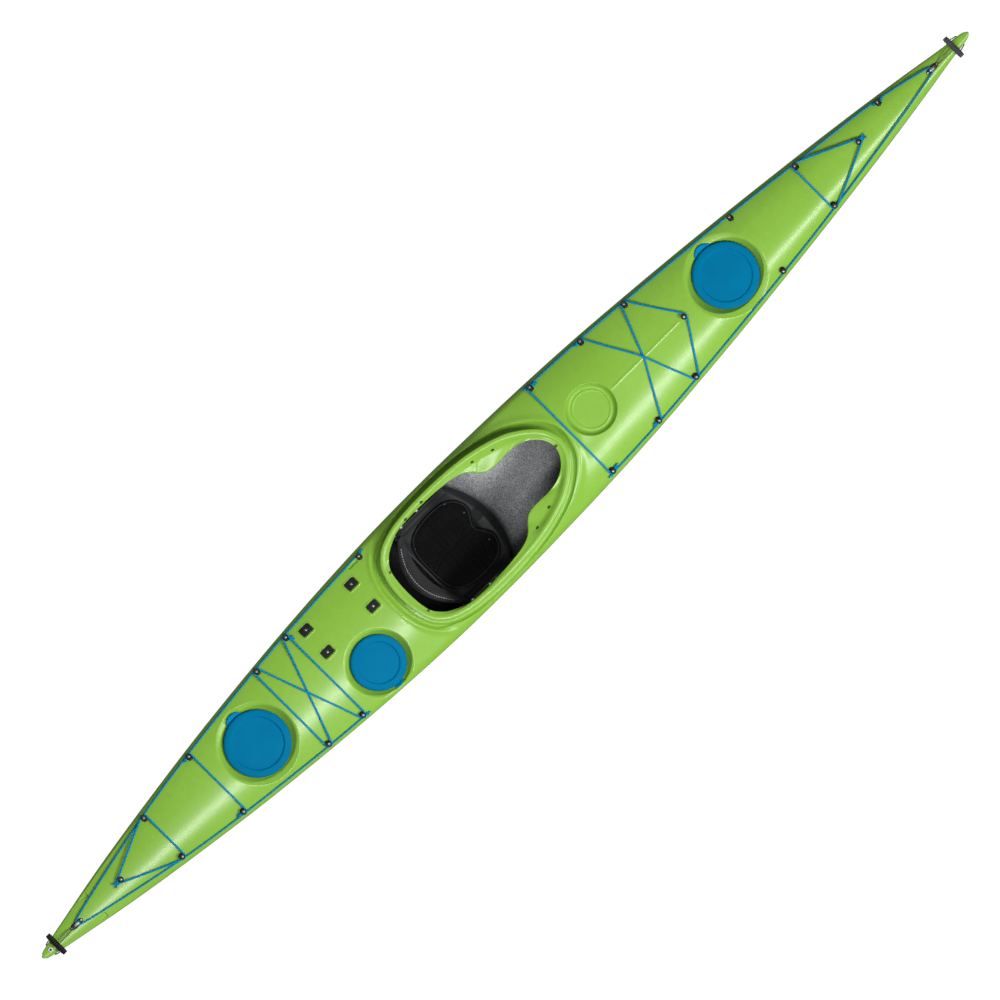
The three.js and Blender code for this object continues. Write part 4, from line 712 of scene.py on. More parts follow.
def lining_material():
    m = Mat("hull_lining_speckled", rough=0.7, specular=0.3)
    fine = m.noise(240, 4, 0.8)
    coarse = m.noise(34, 3, 0.6)
    c = m.ramp(fine, [(0.34, lin((88, 89, 90))), (0.47, lin((164, 166, 168))), (0.57, lin((224, 227, 230))), (0.70, lin((252, 253, 255)))])
    c = m.mix(m.map(coarse, 0.38, 0.7, 0, 0.35), c, lin((128, 130, 132)))
    aft, side, _ = m.separate(m.coord)
    # painted shade: the lining darkens aft of about x = 0.05 m, fully by x = -0.09 m, where the seat and rim shade the
    # cockpit floor
    c = m.mix(m.map(aft, -0.09, 0.05, 0.66, 0), c, lin((20, 20, 21)))
    # painted shade: darker towards the fore-starboard part of the cockpit, where the hull's wall lies in shade under
    # the deck
    c = m.mix(m.map(m.math("SUBTRACT", aft, side), 0.20, 0.34, 0, 0.55), c, lin((20, 20, 21)))
    # painted shade: near black aft of x = -0.3 m, behind the backrest under the aft deck
    c = m.mix(m.map(aft, -0.40, -0.30, 0.93, 0), c, lin((12, 12, 13)))
    m.color(c)
    m.bump(fine, 0.35, 0.0006)
    return m.m


def cover_material(name="hatch_cover_blue", k=1.0):
    def lin(c):
        return tuple(v * k for v in srgb(c)[:3]) + (1.0,)

    m = Mat(name, rough=0.55, specular=0.03)
    broad = m.noise(9, 3, 0.55)
    grain = m.noise(700, 3, 0.65)
    base = m.mix(m.map(broad, 0.3, 0.7, 0, 1), lin((0, 108, 150)), lin((0, 114, 157)))
    base = m.mix(m.map(grain, 0.55, 0.75, 0, 0.2), base, lin((0, 132, 174)))
    worn = edge_wear(m, 0.53, 0.62)
    base = m.mix(m.math("MULTIPLY", worn, 0.45), base, lin((10, 146, 188)))
    dust = m.noise(26, 5, 0.7)
    base = m.mix(m.map(dust, 0.55, 0.75, 0, 0.12), base, lin((0, 96, 138)))
    m.color(base)
    m.rough(m.map(dust, 0.35, 0.7, 0.46, 0.58))
    m.bump(grain, 0.22, 0.0003)
    return m.m


def braid_material(name, dark, mid, light, pitch, turns=8, rough=0.8):
    """A braided sleeve: two families of strands that cross, along the cord's own length."""
    m = Mat(name, rough=rough, specular=0.12, sheen=0.0)
    uv = m.node("ShaderNodeUVMap", uv_map="along").outputs["UV"]
    s = m.separate(uv)
    along = m.math("MULTIPLY", s[0], 2 * math.pi / pitch)
    around = m.math("MULTIPLY", s[1], 2 * math.pi * turns)
    a = m.math("SINE", m.math("ADD", along, around))
    b = m.math("SINE", m.math("SUBTRACT", along, around))
    over = m.math("MULTIPLY", a, b)
    lift = m.math("MAXIMUM", m.math("ABSOLUTE", a), m.math("ABSOLUTE", b))
    fibre = m.noise(1500, 3, 0.7)
    col = m.ramp(m.map(over, -1, 1, 0, 1), [(0.0, dark), (0.5, mid), (1.0, light)])
    col = m.mix(m.map(fibre, 0.35, 0.7, 0, 0.4), col, dark)
    m.color(col)
    m.bump(m.math("ADD", m.math("ADD", lift, m.math("MULTIPLY", over, 0.4)), m.math("MULTIPLY", fibre, 0.3)), 0.6, 0.0006)
    return m.m


def moulded_black(name="moulded_black_nylon", c0=(17, 18, 19), c1=(30, 31, 33), rough=0.42):
    m = Mat(name, rough=rough, specular=0.45)
    g = m.noise(900, 3, 0.6)
    broad = m.noise(60, 3, 0.6)
    c = m.mix(m.map(broad, 0.35, 0.7, 0, 1), lin(c0), lin(c1))
    c = m.mix(m.math("MULTIPLY", edge_wear(m, 0.53, 0.62), 0.5), c, lin((82, 84, 86)))
    m.color(c)
    m.rough(m.map(broad, 0.3, 0.7, rough - 0.08, rough + 0.1))
    m.bump(g, 0.3, 0.0003)
    return m.m


def rubber_black():
    m = Mat("deck_pad_rubber", rough=0.72, specular=0.3)
    g = m.noise(420, 4, 0.7)
    c = m.mix(m.map(g, 0.4, 0.65, 0, 1), lin((20, 21, 22)), lin((38, 39, 40)))
    c = m.mix(m.math("MULTIPLY", edge_wear(m, 0.52, 0.6), 0.5), c, lin((74, 76, 74)))
    m.color(c)
    m.bump(g, 0.5, 0.0005)
    return m.m


def toggle_grip(name, low, high, worn):
    m = Mat(name, rough=0.6, specular=0.3)
    g = m.noise(700, 3, 0.7)
    c = m.mix(m.map(g, 0.4, 0.65, 0, 1), lin(low), lin(high))
    m.color(m.mix(m.math("MULTIPLY", edge_wear(m, 0.52, 0.6), 0.6), c, lin(worn)))
    m.bump(g, 0.4, 0.0004)
    return m.m


def metal(name, c, rough, brushed=True, metallic=1.0):
    m = Mat(name, rough=rough, metallic=metallic)
    b = m.noise(300, 3, 0.6, stretch=(1, 14, 1) if brushed else None)
    spots = m.noise(90, 4, 0.7)
    col = m.mix(m.map(spots, 0.5, 0.75, 0, 0.35), lin(c), lin(tuple(int(v * 0.62) for v in c)))
    m.color(col)
    m.rough(m.map(b, 0.3, 0.7, max(0.05, rough - 0.09), rough + 0.12))
    m.bump(b, 0.18, 0.0002)
    return m.m


def fabric_black(name, scale, dark=(6, 6, 7), light=(17, 17, 18), rough=0.9, haze=(23, 24, 25)):
    """A close plain weave that needs no texture coordinates of its own."""
    m = Mat(name, rough=rough, specular=0.15, sheen=0.06)
    s = m.separate(m.coord)
    wx = m.math("SINE", m.math("MULTIPLY", s[0], scale))
    wy = m.math("SINE", m.math("MULTIPLY", m.math("ADD", s[1], m.math("MULTIPLY", s[2], 0.7)), scale))
    weave = m.math("MULTIPLY", wx, wy)
    fuzz = m.noise(900, 4, 0.75)
    broad = m.noise(14, 3, 0.6)
    c = m.mix(m.map(weave, -1, 1, 0, 1), lin(dark), lin(light))
    c = m.mix(m.map(fuzz, 0.4, 0.7, 0, 0.5), c, lin(dark))
    c = m.mix(m.map(broad, 0.45, 0.75, 0, 0.35), c, lin(haze))
    # painted shade: concave creases and grooves (low pointiness) are darkened to near black
    g = m.node("ShaderNodeNewGeometry")
    c = m.mix(m.map(g.outputs["Pointiness"], 0.44, 0.492, 0.92, 0), c, lin((3, 3, 3)))
    m.color(c)
    m.bump(m.math("ADD", weave, m.math("MULTIPLY", fuzz, 0.8)), 0.5, 0.0005)
    return m.m


def seat_plastic():
    m = Mat("seat_plastic_dark", rough=0.55, specular=0.4)
    g = m.noise(480, 3, 0.7)
    broad = m.noise(18, 3, 0.6)
    c = m.mix(m.map(g, 0.4, 0.66, 0, 1), lin((26, 27, 28)), lin((44, 45, 47)))
    c = m.mix(m.map(broad, 0.4, 0.7, 0, 0.4), c, lin((18, 18, 19)))
    c = m.mix(m.math("MULTIPLY", edge_wear(m, 0.52, 0.6), 0.5), c, lin((96, 98, 100)))
    m.color(c)
    m.bump(g, 0.35, 0.0005)
    return m.m


def foam_grey():
    m = Mat("bulkhead_foam", rough=0.9, specular=0.2)
    cell = m.voronoi(420)
    c = m.mix(m.map(cell, 0.0, 0.6, 0, 1), lin((38, 39, 41)), lin((72, 74, 76)))
    m.color(m.mix(m.map(m.noise(22, 3), 0.4, 0.7, 0, 0.4), c, lin((50, 51, 53))))
    m.bump(cell, 0.5, 0.0006)
    return m.m


def nylon_white():
    m = Mat("nylon_white", rough=0.42, specular=0.5)
    g = m.noise(700, 3, 0.6)
    c = m.mix(m.map(g, 0.4, 0.65, 0, 1), lin((206, 206, 200)), lin((232, 232, 227)))
    m.color(m.mix(m.map(m.noise(80, 4, 0.7), 0.5, 0.75, 0, 0.5), c, lin((176, 176, 168))))
    m.bump(g, 0.2, 0.0003)
    return m.m


def foam_trim():
    m = Mat("piping_black", rough=0.6, specular=0.35)
    g = m.noise(1100, 3, 0.6)
    m.color(m.mix(m.map(g, 0.4, 0.65, 0, 1), lin((24, 25, 26)), lin((44, 45, 47))))
    m.bump(g, 0.4, 0.0003)
    return m.m


LIME = lime_material("hull_polyethylene_lime")
# painted shade: the hull's lime darkened to 0.12, for the small pits in the rim's lugs
LIME_PAINTED_SHADE = lime_material("hull_polyethylene_lime_painted_shade", 0.12)
LINING = lining_material()
BLUE = cover_material()
# painted highlight: the tab is the cover's own blue made 1.28 times lighter, for the light its raised lip catches
BLUE_TAB = cover_material("hatch_cover_blue_tab", 1.28)
CORD = braid_material("braided_cord_blue", lin((0, 70, 110)), lin((0, 150, 205)), lin((0, 185, 240)), 0.0052)
ELASTIC = braid_material("braided_elastic_blue", lin((0, 70, 110)), lin((0, 150, 205)), lin((4, 188, 242)), 0.0064)
CORD_BLACK = braid_material("braided_cord_black", lin((22, 22, 23)), lin((48, 49, 50)), lin((86, 88, 90)), 0.004, 6)
KEEPER = braid_material("braided_elastic_grey", lin((52, 53, 54)), lin((88, 90, 92)), lin((124, 126, 128)), 0.004, 6)
BLACK = moulded_black()
PAD = rubber_black()
GRIP = {"stern": toggle_grip("toggle_grip_black", (16, 16, 17), (30, 31, 32), (62, 63, 64)), "bow": toggle_grip("toggle_grip_grey", (56, 57, 58), (76, 77, 78), (112, 113, 114))}
STEEL = metal("stainless_steel", (178, 171, 168), 0.42)
STUD = metal("stud_steel_dull", (112, 113, 115), 0.55)
SADDLE = metal("saddle_steel", (176, 174, 170), 0.42)
BOLT = metal("bolt_steel_bright", (232, 232, 228), 0.4, True, 0.55)
ALLOY = metal("anodised_alloy", (140, 144, 148), 0.38)
NYLON = nylon_white()
SEAT = seat_plastic()
FABRIC = fabric_black("cushion_weave_black", 2 * math.pi / 0.0022)
BACKING = fabric_black("backrest_weave_black", 2 * math.pi / 0.0028, (30, 30, 31), (62, 63, 65), 0.9, (78, 79, 81))
PIPING = foam_trim()
FOAM = foam_grey()


def thread():
    m = Mat("stitch_thread", rough=0.7, specular=0.3)
    g = m.noise(1600, 3, 0.6)
    m.color(m.mix(m.map(g, 0.4, 0.65, 0, 1), lin((176, 176, 174)), lin((214, 214, 210))))
    m.bump(g, 0.4, 0.0002)
    return m.m


THREAD = thread()


def finish_piece(ob, slot, *nodes, body=KAYAK):
    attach(ob, body)
    if nodes:
        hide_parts(*nodes)
    return ob


# ------------------------------------------------------------------ hull
F_EDGE = 0.985
KEEL_FLAT = 66
NX, NF, FINEST = 325, 32, 16  # base cells of 16 mm, each split up to four times


def wanted_size(x, y, f):
    """Cell size that the surface needs at a point."""
    s = np.full(x.shape, 16.0)

    def need(d, size, slope=0.45):
        nonlocal s
        s = np.minimum(s, size + slope * np.maximum(0, d))

    for name, (p, n, cover, recess, depth, tab, side) in HATCHES.items():
        r = np.hypot(x - p[0], y - p[1])
        need(np.abs(r - (recess - 6)) - 14, 2.0)
        need(np.abs(r - (cover - 17)) - 4, 2.4)
        if name != "day":
            need(np.hypot(x - p[0], y - p[1] - 125) - 66, 2.2)
    p, n, r1, ring, depth = COMPASS
    r = np.hypot(x - p[0], y)
    need(np.abs(r - 90) - 18, 2.0)
    d, _ = lip_distance(x, y)
    need(np.abs(d - 14) - 22, 2.2)
    need(np.abs(d + 17) - 4, 2.0)
    need(np.maximum(np.abs(y) - 10, np.maximum(586 - x, x - 994)), 2.0)
    need(np.hypot(np.maximum(0, np.abs(x + 2318) - 26), np.maximum(0, np.abs(np.abs(y) - 55.6) - 12)), 1.6)
    need(np.hypot(np.maximum(0, np.abs(x + 623) - 30), np.maximum(0, np.abs(y - 235) - 10)), 1.8)
    for p, n in PADS.values():
        need(np.hypot(np.maximum(0, np.abs(x - p[0]) - 34), np.maximum(0, np.abs(y - p[1]) - 26)), 1.8)
    need(np.where(np.abs(f) > 0.88, 0.0, 400.0 * (0.88 - np.abs(f))), 4.2)
    need(2600 - np.abs(x), 2.0, 0.12)
    return s


def build_hull():
    sx = 5200 / NX / FINEST
    sf = 2 * F_EDGE / NF / FINEST
    cells = [np.stack(np.meshgrid(np.arange(NX), np.arange(NF), indexing="ij"), -1).reshape(-1, 2) * FINEST]
    size = FINEST
    leaves = []
    cur = cells[0]
    while len(cur):
        c = cur + size / 2
        x = -2600 + c[:, 0] * sx
        f = -F_EDGE + c[:, 1] * sf
        y = f * beam(x)
        if size > 1:
            split = wanted_size(x, y, f) < size * 0.98
        else:
            split = np.zeros(len(cur), bool)
        keep = cur[~split]
        leaves.append(np.column_stack([keep, np.full(len(keep), size)]))
        go = cur[split]
        half = size // 2
        cur = np.vstack([go + [a, b] for a in (0, half) for b in (0, half)]) if len(go) else go
        size = half
    leaf = np.vstack(leaves)
    # openings: the cockpit and the three hatch bores
    cx = -2600 + (leaf[:, 0] + leaf[:, 2] / 2) * sx
    cy = (-F_EDGE + (leaf[:, 1] + leaf[:, 2] / 2) * sf) * beam(cx)
    d, _ = lip_distance(cx, cy)
    gone = d < -17
    gone |= (cx > -500) & (cx < 240) & (np.abs(cy) < 90)
    for p, n, cover, recess, depth, tab, side in HATCHES.values():
        gone |= np.hypot(cx - p[0], cy - p[1]) < cover - 17
    leaf = leaf[~gone]
    W, Hh = NX * FINEST + 1, NF * FINEST + 1
    is_vert = np.zeros((W, Hh), bool)
    i0, j0, s = leaf.T
    for a in (0, 1):
        for b in (0, 1):
            is_vert[i0 + a * s, j0 + b * s] = True
    edge_rows = is_vert[:, 0] | is_vert[:, -1]
    is_vert[edge_rows, 0] = True
    is_vert[edge_rows, -1] = True
    vid = np.full((W, Hh), -1, int)
    ii, jj = np.nonzero(is_vert)
    vid[ii, jj] = np.arange(len(ii))
    x = -2600 + ii * sx
    f = -F_EDGE + jj * sf
    y = f * beam(x)
    faces = []
    for a, b, c in leaf:
        if c == 1:
            faces.append([vid[a, b], vid[a + 1, b], vid[a + 1, b + 1], vid[a, b + 1]])
            continue
        e1 = vid[a:a + c, b]
        e2 = vid[a + c, b:b + c]
        e3 = vid[a + c:a:-1, b + c]
        e4 = vid[a, b + c:b:-1]
        ring = np.concatenate([e1, e2, e3, e4])
        faces.append(ring[ring >= 0].tolist())
    # boundary vertices of the openings move onto the exact curves
    counts = {}
    for q in faces:
        for k in range(len(q)):
            e = (q[k], q[(k + 1) % len(q)])
            key = (min(e), max(e))
            counts[key] = counts.get(key, 0) + 1
    rim = sorted({v for e, c in counts.items() if c == 1 for v in e})
    rim = np.array([v for v in rim if 0 < jj[v] < Hh - 1 and 0 < ii[v] < W - 1])
    dl, kl = lip_distance(x[rim], y[rim])
    for v, dd, kk in zip(rim, dl, kl):
        if abs(dd + 17) < 8:
            p, n = LIP_C[kk], LIP_NRM[kk]
            q = np.array([x[v], y[v]])
            nn = n
            x[v], y[v] = q - nn * (dd + 17)
        else:
            for p, n, cover, *_ in HATCHES.values():
                r = math.hypot(x[v] - p[0], y[v] - p[1])
                if abs(r - (cover - 17)) < 6:
                    k = (cover - 17) / r
                    x[v], y[v] = p[0] + (x[v] - p[0]) * k, p[1] + (y[v] - p[1]) * k
    z = height(x, y)
    V = [np.stack([x, y, z], 1)]
    N = [normal_at(x, y)]

    # gunwale, sides and bottom, joined to the deck's two long edges
    rows = np.flatnonzero(edge_rows)
    xs = -2600 + rows * sx
    b = beam(xs)
    w = smooth(800, 2250, np.abs(xs))
    k, sh = keel(xs), deck_at(xs, np.ones_like(xs))
    fall = np.minimum(6.0, 0.25 * b)
    ctrl = []
    z_edge = height(xs, b * F_EDGE)
    for f0 in (0.955, 0.97):
        ctrl.append(np.stack([b * f0, deck_at(xs, np.full_like(xs, f0))], 1))
    ctrl.append(np.stack([b * F_EDGE, deck_at(xs, np.full_like(xs, F_EDGE))], 1))
    ctrl.append(np.stack([b, sh - fall], 1))
    for t, (m, e) in list(enumerate(zip(MID_SIDE, END_SIDE)))[-2::-1]:
        half = b * (m[0] + (e[0] - m[0]) * w)
        ctrl.append(np.stack([np.minimum(KEEL_FLAT, half) if t == 1 else half, k + (sh - k) * (m[1] + (e[1] - m[1]) * w)], 1))
    C = np.stack(ctrl, 1)  # rows, control, (y, z)
    seg = np.linalg.norm(np.diff(C, axis=1), axis=2)
    knots = np.concatenate([[0], np.cumsum(seg[len(xs) // 2])])
    dk = np.diff(knots)
    dd = np.diff(C, axis=1) / dk[None, :, None]
    T = np.zeros_like(C)
    T[:, 0], T[:, -1] = dd[:, 0], dd[:, -1]
    for i in range(1, C.shape[1] - 1):
        w0, w1 = 2 * dk[i] + dk[i - 1], dk[i] + 2 * dk[i - 1]
        a0, a1 = dd[:, i - 1], dd[:, i]
        ok = a0 * a1 > 0
        with np.errstate(divide="ignore", invalid="ignore"):
            t = (w0 + w1) / (w0 / a0 + w1 / a1)
        T[:, i] = np.where(ok, t, 0)
    cols = []
    share = [(2, [0]), (2, [0.25, 0.5, 0.75]), (3, [0, 0.12, 0.25, 0.4, 0.55, 0.7, 0.85])] + [(i, [0, 0.25, 0.5, 0.75]) for i in range(4, C.shape[1] - 1)] + [(C.shape[1] - 2, [1.0])]
    for i, ts in share:
        for t in ts:
            h = dk[i]
            cols.append((2 * t ** 3 - 3 * t * t + 1) * C[:, i] + (t ** 3 - 2 * t * t + t) * h * T[:, i] + (3 * t * t - 2 * t ** 3) * C[:, i + 1] + (t ** 3 - t * t) * h * T[:, i + 1])
    Q = np.stack(cols, 1)  # rows, columns, (y, z); column 0 is the deck's own edge
    nc = Q.shape[1]
    # a full ring per row: port edge, down, keel, up, starboard edge
    ring = np.zeros((len(xs), 2 * nc - 1, 3))
    ring[:, :, 0] = xs[:, None]
    ring[:, :nc, 1:] = Q
    ring[:, nc:, 1] = -Q[:, nc - 2::-1, 0]
    ring[:, nc:, 2] = Q[:, nc - 2::-1, 1]
    ring[:, 0, 2] = height(xs, b * F_EDGE)
    ring[:, -1, 2] = height(xs, -b * F_EDGE)
    du = np.gradient(ring, axis=1)
    dx = np.gradient(ring, xs, axis=0)
    nr = np.cross(dx, du)
    nr /= np.maximum(1e-9, np.linalg.norm(nr, axis=2, keepdims=True))
    mid = ring - np.array([0, 0, 1.0]) * 0
    # outwards is away from the middle of the section
    out = ring - np.stack([ring[:, :, 0], np.zeros_like(ring[:, :, 1]), np.broadcast_to(((k + sh) / 2)[:, None], ring.shape[:2])], 2)
    flip = np.sign((nr * out).sum(2, keepdims=True).mean())
    nr *= flip
    inner_cols = np.arange(1, 2 * nc - 2)
    base = len(x)
    V.append(ring[:, inner_cols].reshape(-1, 3))
    N.append(nr[:, inner_cols].reshape(-1, 3))
    m = len(inner_cols)

    def rid(r, c):
        if c == 0:
            return int(vid[rows[r], Hh - 1])
        if c == 2 * nc - 2:
            return int(vid[rows[r], 0])
        return base + r * m + c - 1

    deck_count = len(faces)
    for r in range(len(xs) - 1):
        for c in range(2 * nc - 2):
            faces.append([rid(r, c), rid(r, c + 1), rid(r + 1, c + 1), rid(r + 1, c)])
    # flat end strips
    for r, s0 in ((0, 1), (len(xs) - 1, -1)):
        top = [int(vid[rows[r], j]) for j in range(Hh) if vid[rows[r], j] >= 0]
        low = [rid(r, c) for c in range(1, 2 * nc - 2)]
        faces.append((top + low) if s0 > 0 else (top + low)[::-1])
    V, N = np.vstack(V), np.vstack(N)
    # the strip's faces look outwards, as the deck's do
    ends = len(faces) - 2
    Q4 = np.array(faces[deck_count:ends])
    fn = np.cross(V[Q4[:, 2]] - V[Q4[:, 0]], V[Q4[:, 3]] - V[Q4[:, 1]])
    if (fn * N[Q4[:, 0]]).sum() < 0:
        for i in range(deck_count, ends):
            faces[i] = faces[i][::-1]
    # make the two end faces look fore and aft
    for i, want in ((ends, -1), (ends + 1, 1)):
        q = faces[i]
        area = np.zeros(3)
        for a in range(1, len(q) - 1):
            area += np.cross(V[q[a]] - V[q[0]], V[q[a + 1]] - V[q[0]])
        if area[0] * want < 0:
            faces[i] = q[::-1]
    # inner face of the wall, joined at every opening
    wall = np.minimum(5.0, 0.3 * beam(V[:, 0]))
    VI = V - N * wall[:, None]
    VI[:, 1] = np.where(np.abs(V[:, 1]) > 2, np.sign(V[:, 1]) * np.maximum(0.4, np.abs(VI[:, 1])), VI[:, 1])
    n0 = len(V)
    inner_faces = [[v + n0 for v in q[::-1]] for q in faces]
    edges = {}
    for q in faces:
        for a in range(len(q)):
            e = (q[a], q[(a + 1) % len(q)])
            if (e[1], e[0]) in edges:
                del edges[(e[1], e[0])]
            else:
                edges[e] = True
    bridge = [[e[1], e[0], e[0] + n0, e[1] + n0] for e in edges]
    ALLV = np.vstack([V, VI])
    ALLN = np.vstack([N, -N])
    allf = faces + inner_faces + bridge
    index = [0] * len(faces) + [1] * len(inner_faces) + [0] * len(bridge)
    loops = []
    for t, q in enumerate(allf):
        if t in (ends, ends + 1) or t >= len(faces) + len(inner_faces):
            a = np.cross(ALLV[q[1]] - ALLV[q[0]], ALLV[q[2]] - ALLV[q[0]])
            L = np.linalg.norm(a)
            a = a / L if L > 1e-9 else np.array([0, 0, 1.0])
            loops += [a] * len(q)
        else:
            loops += [ALLN[v] for v in q]
    ob = make("hull", ALLV, allf, (LIME, LINING), index, np.array(loops))
    print("hull", len(ALLV), "vertices", len(edges), "open edges joined")
    return ob


hull = finish_piece(build_hull(), "hull_lime", "hull_shell")


# ------------------------------------------------------------------ cockpit rim and thigh braces
def build_rim():
    edge = outline(EDGE, 2400)
    ang_e = np.arctan2(edge[:, 1], edge[:, 0] + 130)
    order = np.argsort(ang_e)
    ae, ee = ang_e[order], edge[order]
    ae = np.concatenate([ae - 2 * math.pi, ae, ae + 2 * math.pi])
    ee = np.vstack([ee, ee, ee])
    rings = []
    for i in range(RIM_N):
        p, n = LIP_C[i], LIP_NRM[i]
        ang = math.atan2(p[1], p[0] + 130)
        e = np.array([np.interp(ang, ae, ee[:, 0]), np.interp(ang, ae, ee[:, 1])])
        z = float(rim_z(p[0]))
        c3 = p - n * 25
        gap = np.linalg.norm(c3 - e)
        wide = max(0.0, gap - 6)
        ze = z - 3 - min(26, wide * 0.4)
        foot = float(min(height(*(p - n * 14)), height(*(p - n * 20)))) - 9
        pts = []

        def at(d, h):
            q = p - n * d
            pts.append((q[0], q[1], z + h))

        for d, h in ((1.2, -6.2), (0.3, -5.2), (0, -3.8), (0.3, -2.2), (1.4, -0.8), (3.2, 0.1), (6, 0.8), (10, 1.3), (14, 1.4), (17.5, 0.9), (20.5, 0.0), (23, -1.4), (25, -2.9)):
            at(d, h)
        # from the lip's inner band to the opening's edge, steeper at first where there is a thigh brace
        k = min(1.0, max(0.0, (wide - 14) / 30))
        for s in (0.08, 0.16, 0.25, 0.35, 0.46, 0.58, 0.7, 0.81, 0.9, 0.96):
            q = c3 + (e - c3) * s
            run = s * gap
            drop_band = 0.62 * min(run, 20) + 0.16 * max(0, run - 20)
            drop_line = (z - 2.9 - ze) * s
            total = 0.62 * min(gap, 20) + 0.16 * max(0, gap - 20)
            scale = (z - 2.9 - ze) / max(total, 1e-6)
            a = drop_band * scale
            drop = a * k + drop_line * (1 - k)
            pts.append((q[0], q[1], z - 2.9 - drop))
        dirn = (e - c3) / max(gap, 1e-6)
        for a, h in ((0.0, 0.0), (1.6, -0.7), (2.8, -2.2), (3.2, -4.2), (2.6, -6.2), (1.2, -7.2), (-1.0, -7.4)):
            q = e + dirn * (a - 1.6)
            pts.append((q[0], q[1], ze + h))
        # underside back to the wall
        w1 = p - n * 20
        for s in (0.35, 0.7, 0.92):
            q = (e - dirn * 2.6) * (1 - s) + w1 * s
            pts.append((q[0], q[1], (ze - 7.4) * (1 - s) + (z - 10.5) * s))
        for d, h in ((20, z - 12), (20, (z - 12 + foot) / 2), (20, foot), (14, foot)):
            q = p - n * d
            pts.append((q[0], q[1], h))
        for d, h in ((14, (z - 12 + foot) / 2), (14, z - 11), (13, z - 8.6), (10.5, z - 7.2), (6, z - 6.9), (2.6, z - 6.8)):
            q = p - n * d
            pts.append((q[0], q[1], h))
        rings.append(pts)
    R = np.array(rings)
    # ease the inner edge round the outline
    for _ in range(3):
        R[:, 13:33] = (np.roll(R[:, 13:33], 1, 0) + 2 * R[:, 13:33] + np.roll(R[:, 13:33], -1, 0)) / 4
    cols = R.shape[1]
    faces = grid_faces(RIM_N, cols, True, True)
    V = R.reshape(-1, 3)
    q = faces[8]
    n = np.cross(V[q[1]] - V[q[0]], V[q[2]] - V[q[0]])
    if n[2] < 0:
        faces = [f[::-1] for f in faces]
    lining = set(range(33, 37))
    index = [1 if (i % cols) in range(31, 36) else 0 for i in range(len(faces))]
    ob = make("cockpit_rim", V, faces, (LIME, LINING), index)
    return crease(ob, 50), R


rim, RIM = build_rim()
finish_piece(rim, "hull_lime")


def rim_point(x, y):
    """The rim's surface near a point in plan, with its normal."""
    i, j = divmod(int(((RIM[:, 4:31, 0] - x) ** 2 + (RIM[:, 4:31, 1] - y) ** 2).argmin()), 27)
    j += 4
    a = RIM[(i + 1) % RIM_N, j] - RIM[i - 1, j]
    b = RIM[i, j + 1] - RIM[i, j - 1]
    n = np.cross(a, b)
    n *= np.sign(n[2]) / np.linalg.norm(n)
    return RIM[i, j], n


# small moulded lugs under the rim's inner edge, and the bolts that hold the seat; the lugs take the lime darkened to
# 0.12, painted shade for their dark pits
def dimple(x, y):
    p, n = rim_point(x, y)
    prof = [(0, 0.3), (3.6, 0.5), (5.4, 1.3), (6.6, 1.5), (7.4, 0.6), (7.6, -0.6), (7.6, -3), (0, -3)]
    v, f = lathe(round_profile(prof[::-1], 0.5, 3), 28)
    return placed(v * [1, 0.78, 1], p, n), f


def px(u, v):
    return (u - 654.25) * 3.974, v * 3.974


for i, (u, v) in enumerate([(566.6, 53.6), (589.7, 54.2), (518, 27), (518, -27), (566, -52), (589.7, -52), (654.3, 46.6), (654.3, -45.2), (677, 40.2), (677, -38.6), (725, -0.8)]):
    mv, mf = dimple(*px(u, v))
    ob = make("rim_dimple_%d" % i, mv, mf, (LIME_PAINTED_SHADE,))
    finish_piece(crease(ob, 50), "hull_lime")


# upstands that the hatch covers grip
for name, (p, n, cover, recess, depth, tab, side) in HATCHES.items():
    r = cover - 10
    prof = round_profile([(r - 8.4, -depth - 6), (r - 8.4, -depth + 17), (r - 0.2, -depth + 17), (r - 0.2, -depth - 3)], 1.6, 3)
    outer = [(r - 0.2, -depth - 3), (r - 8.4, -depth - 6)]
    v, f = lathe(prof[::-1], 120, closed=True)
    ob = make("hatch_upstand_" + name, placed(v, p, n), f, (LIME,))
    finish_piece(crease(ob), "hull_lime")


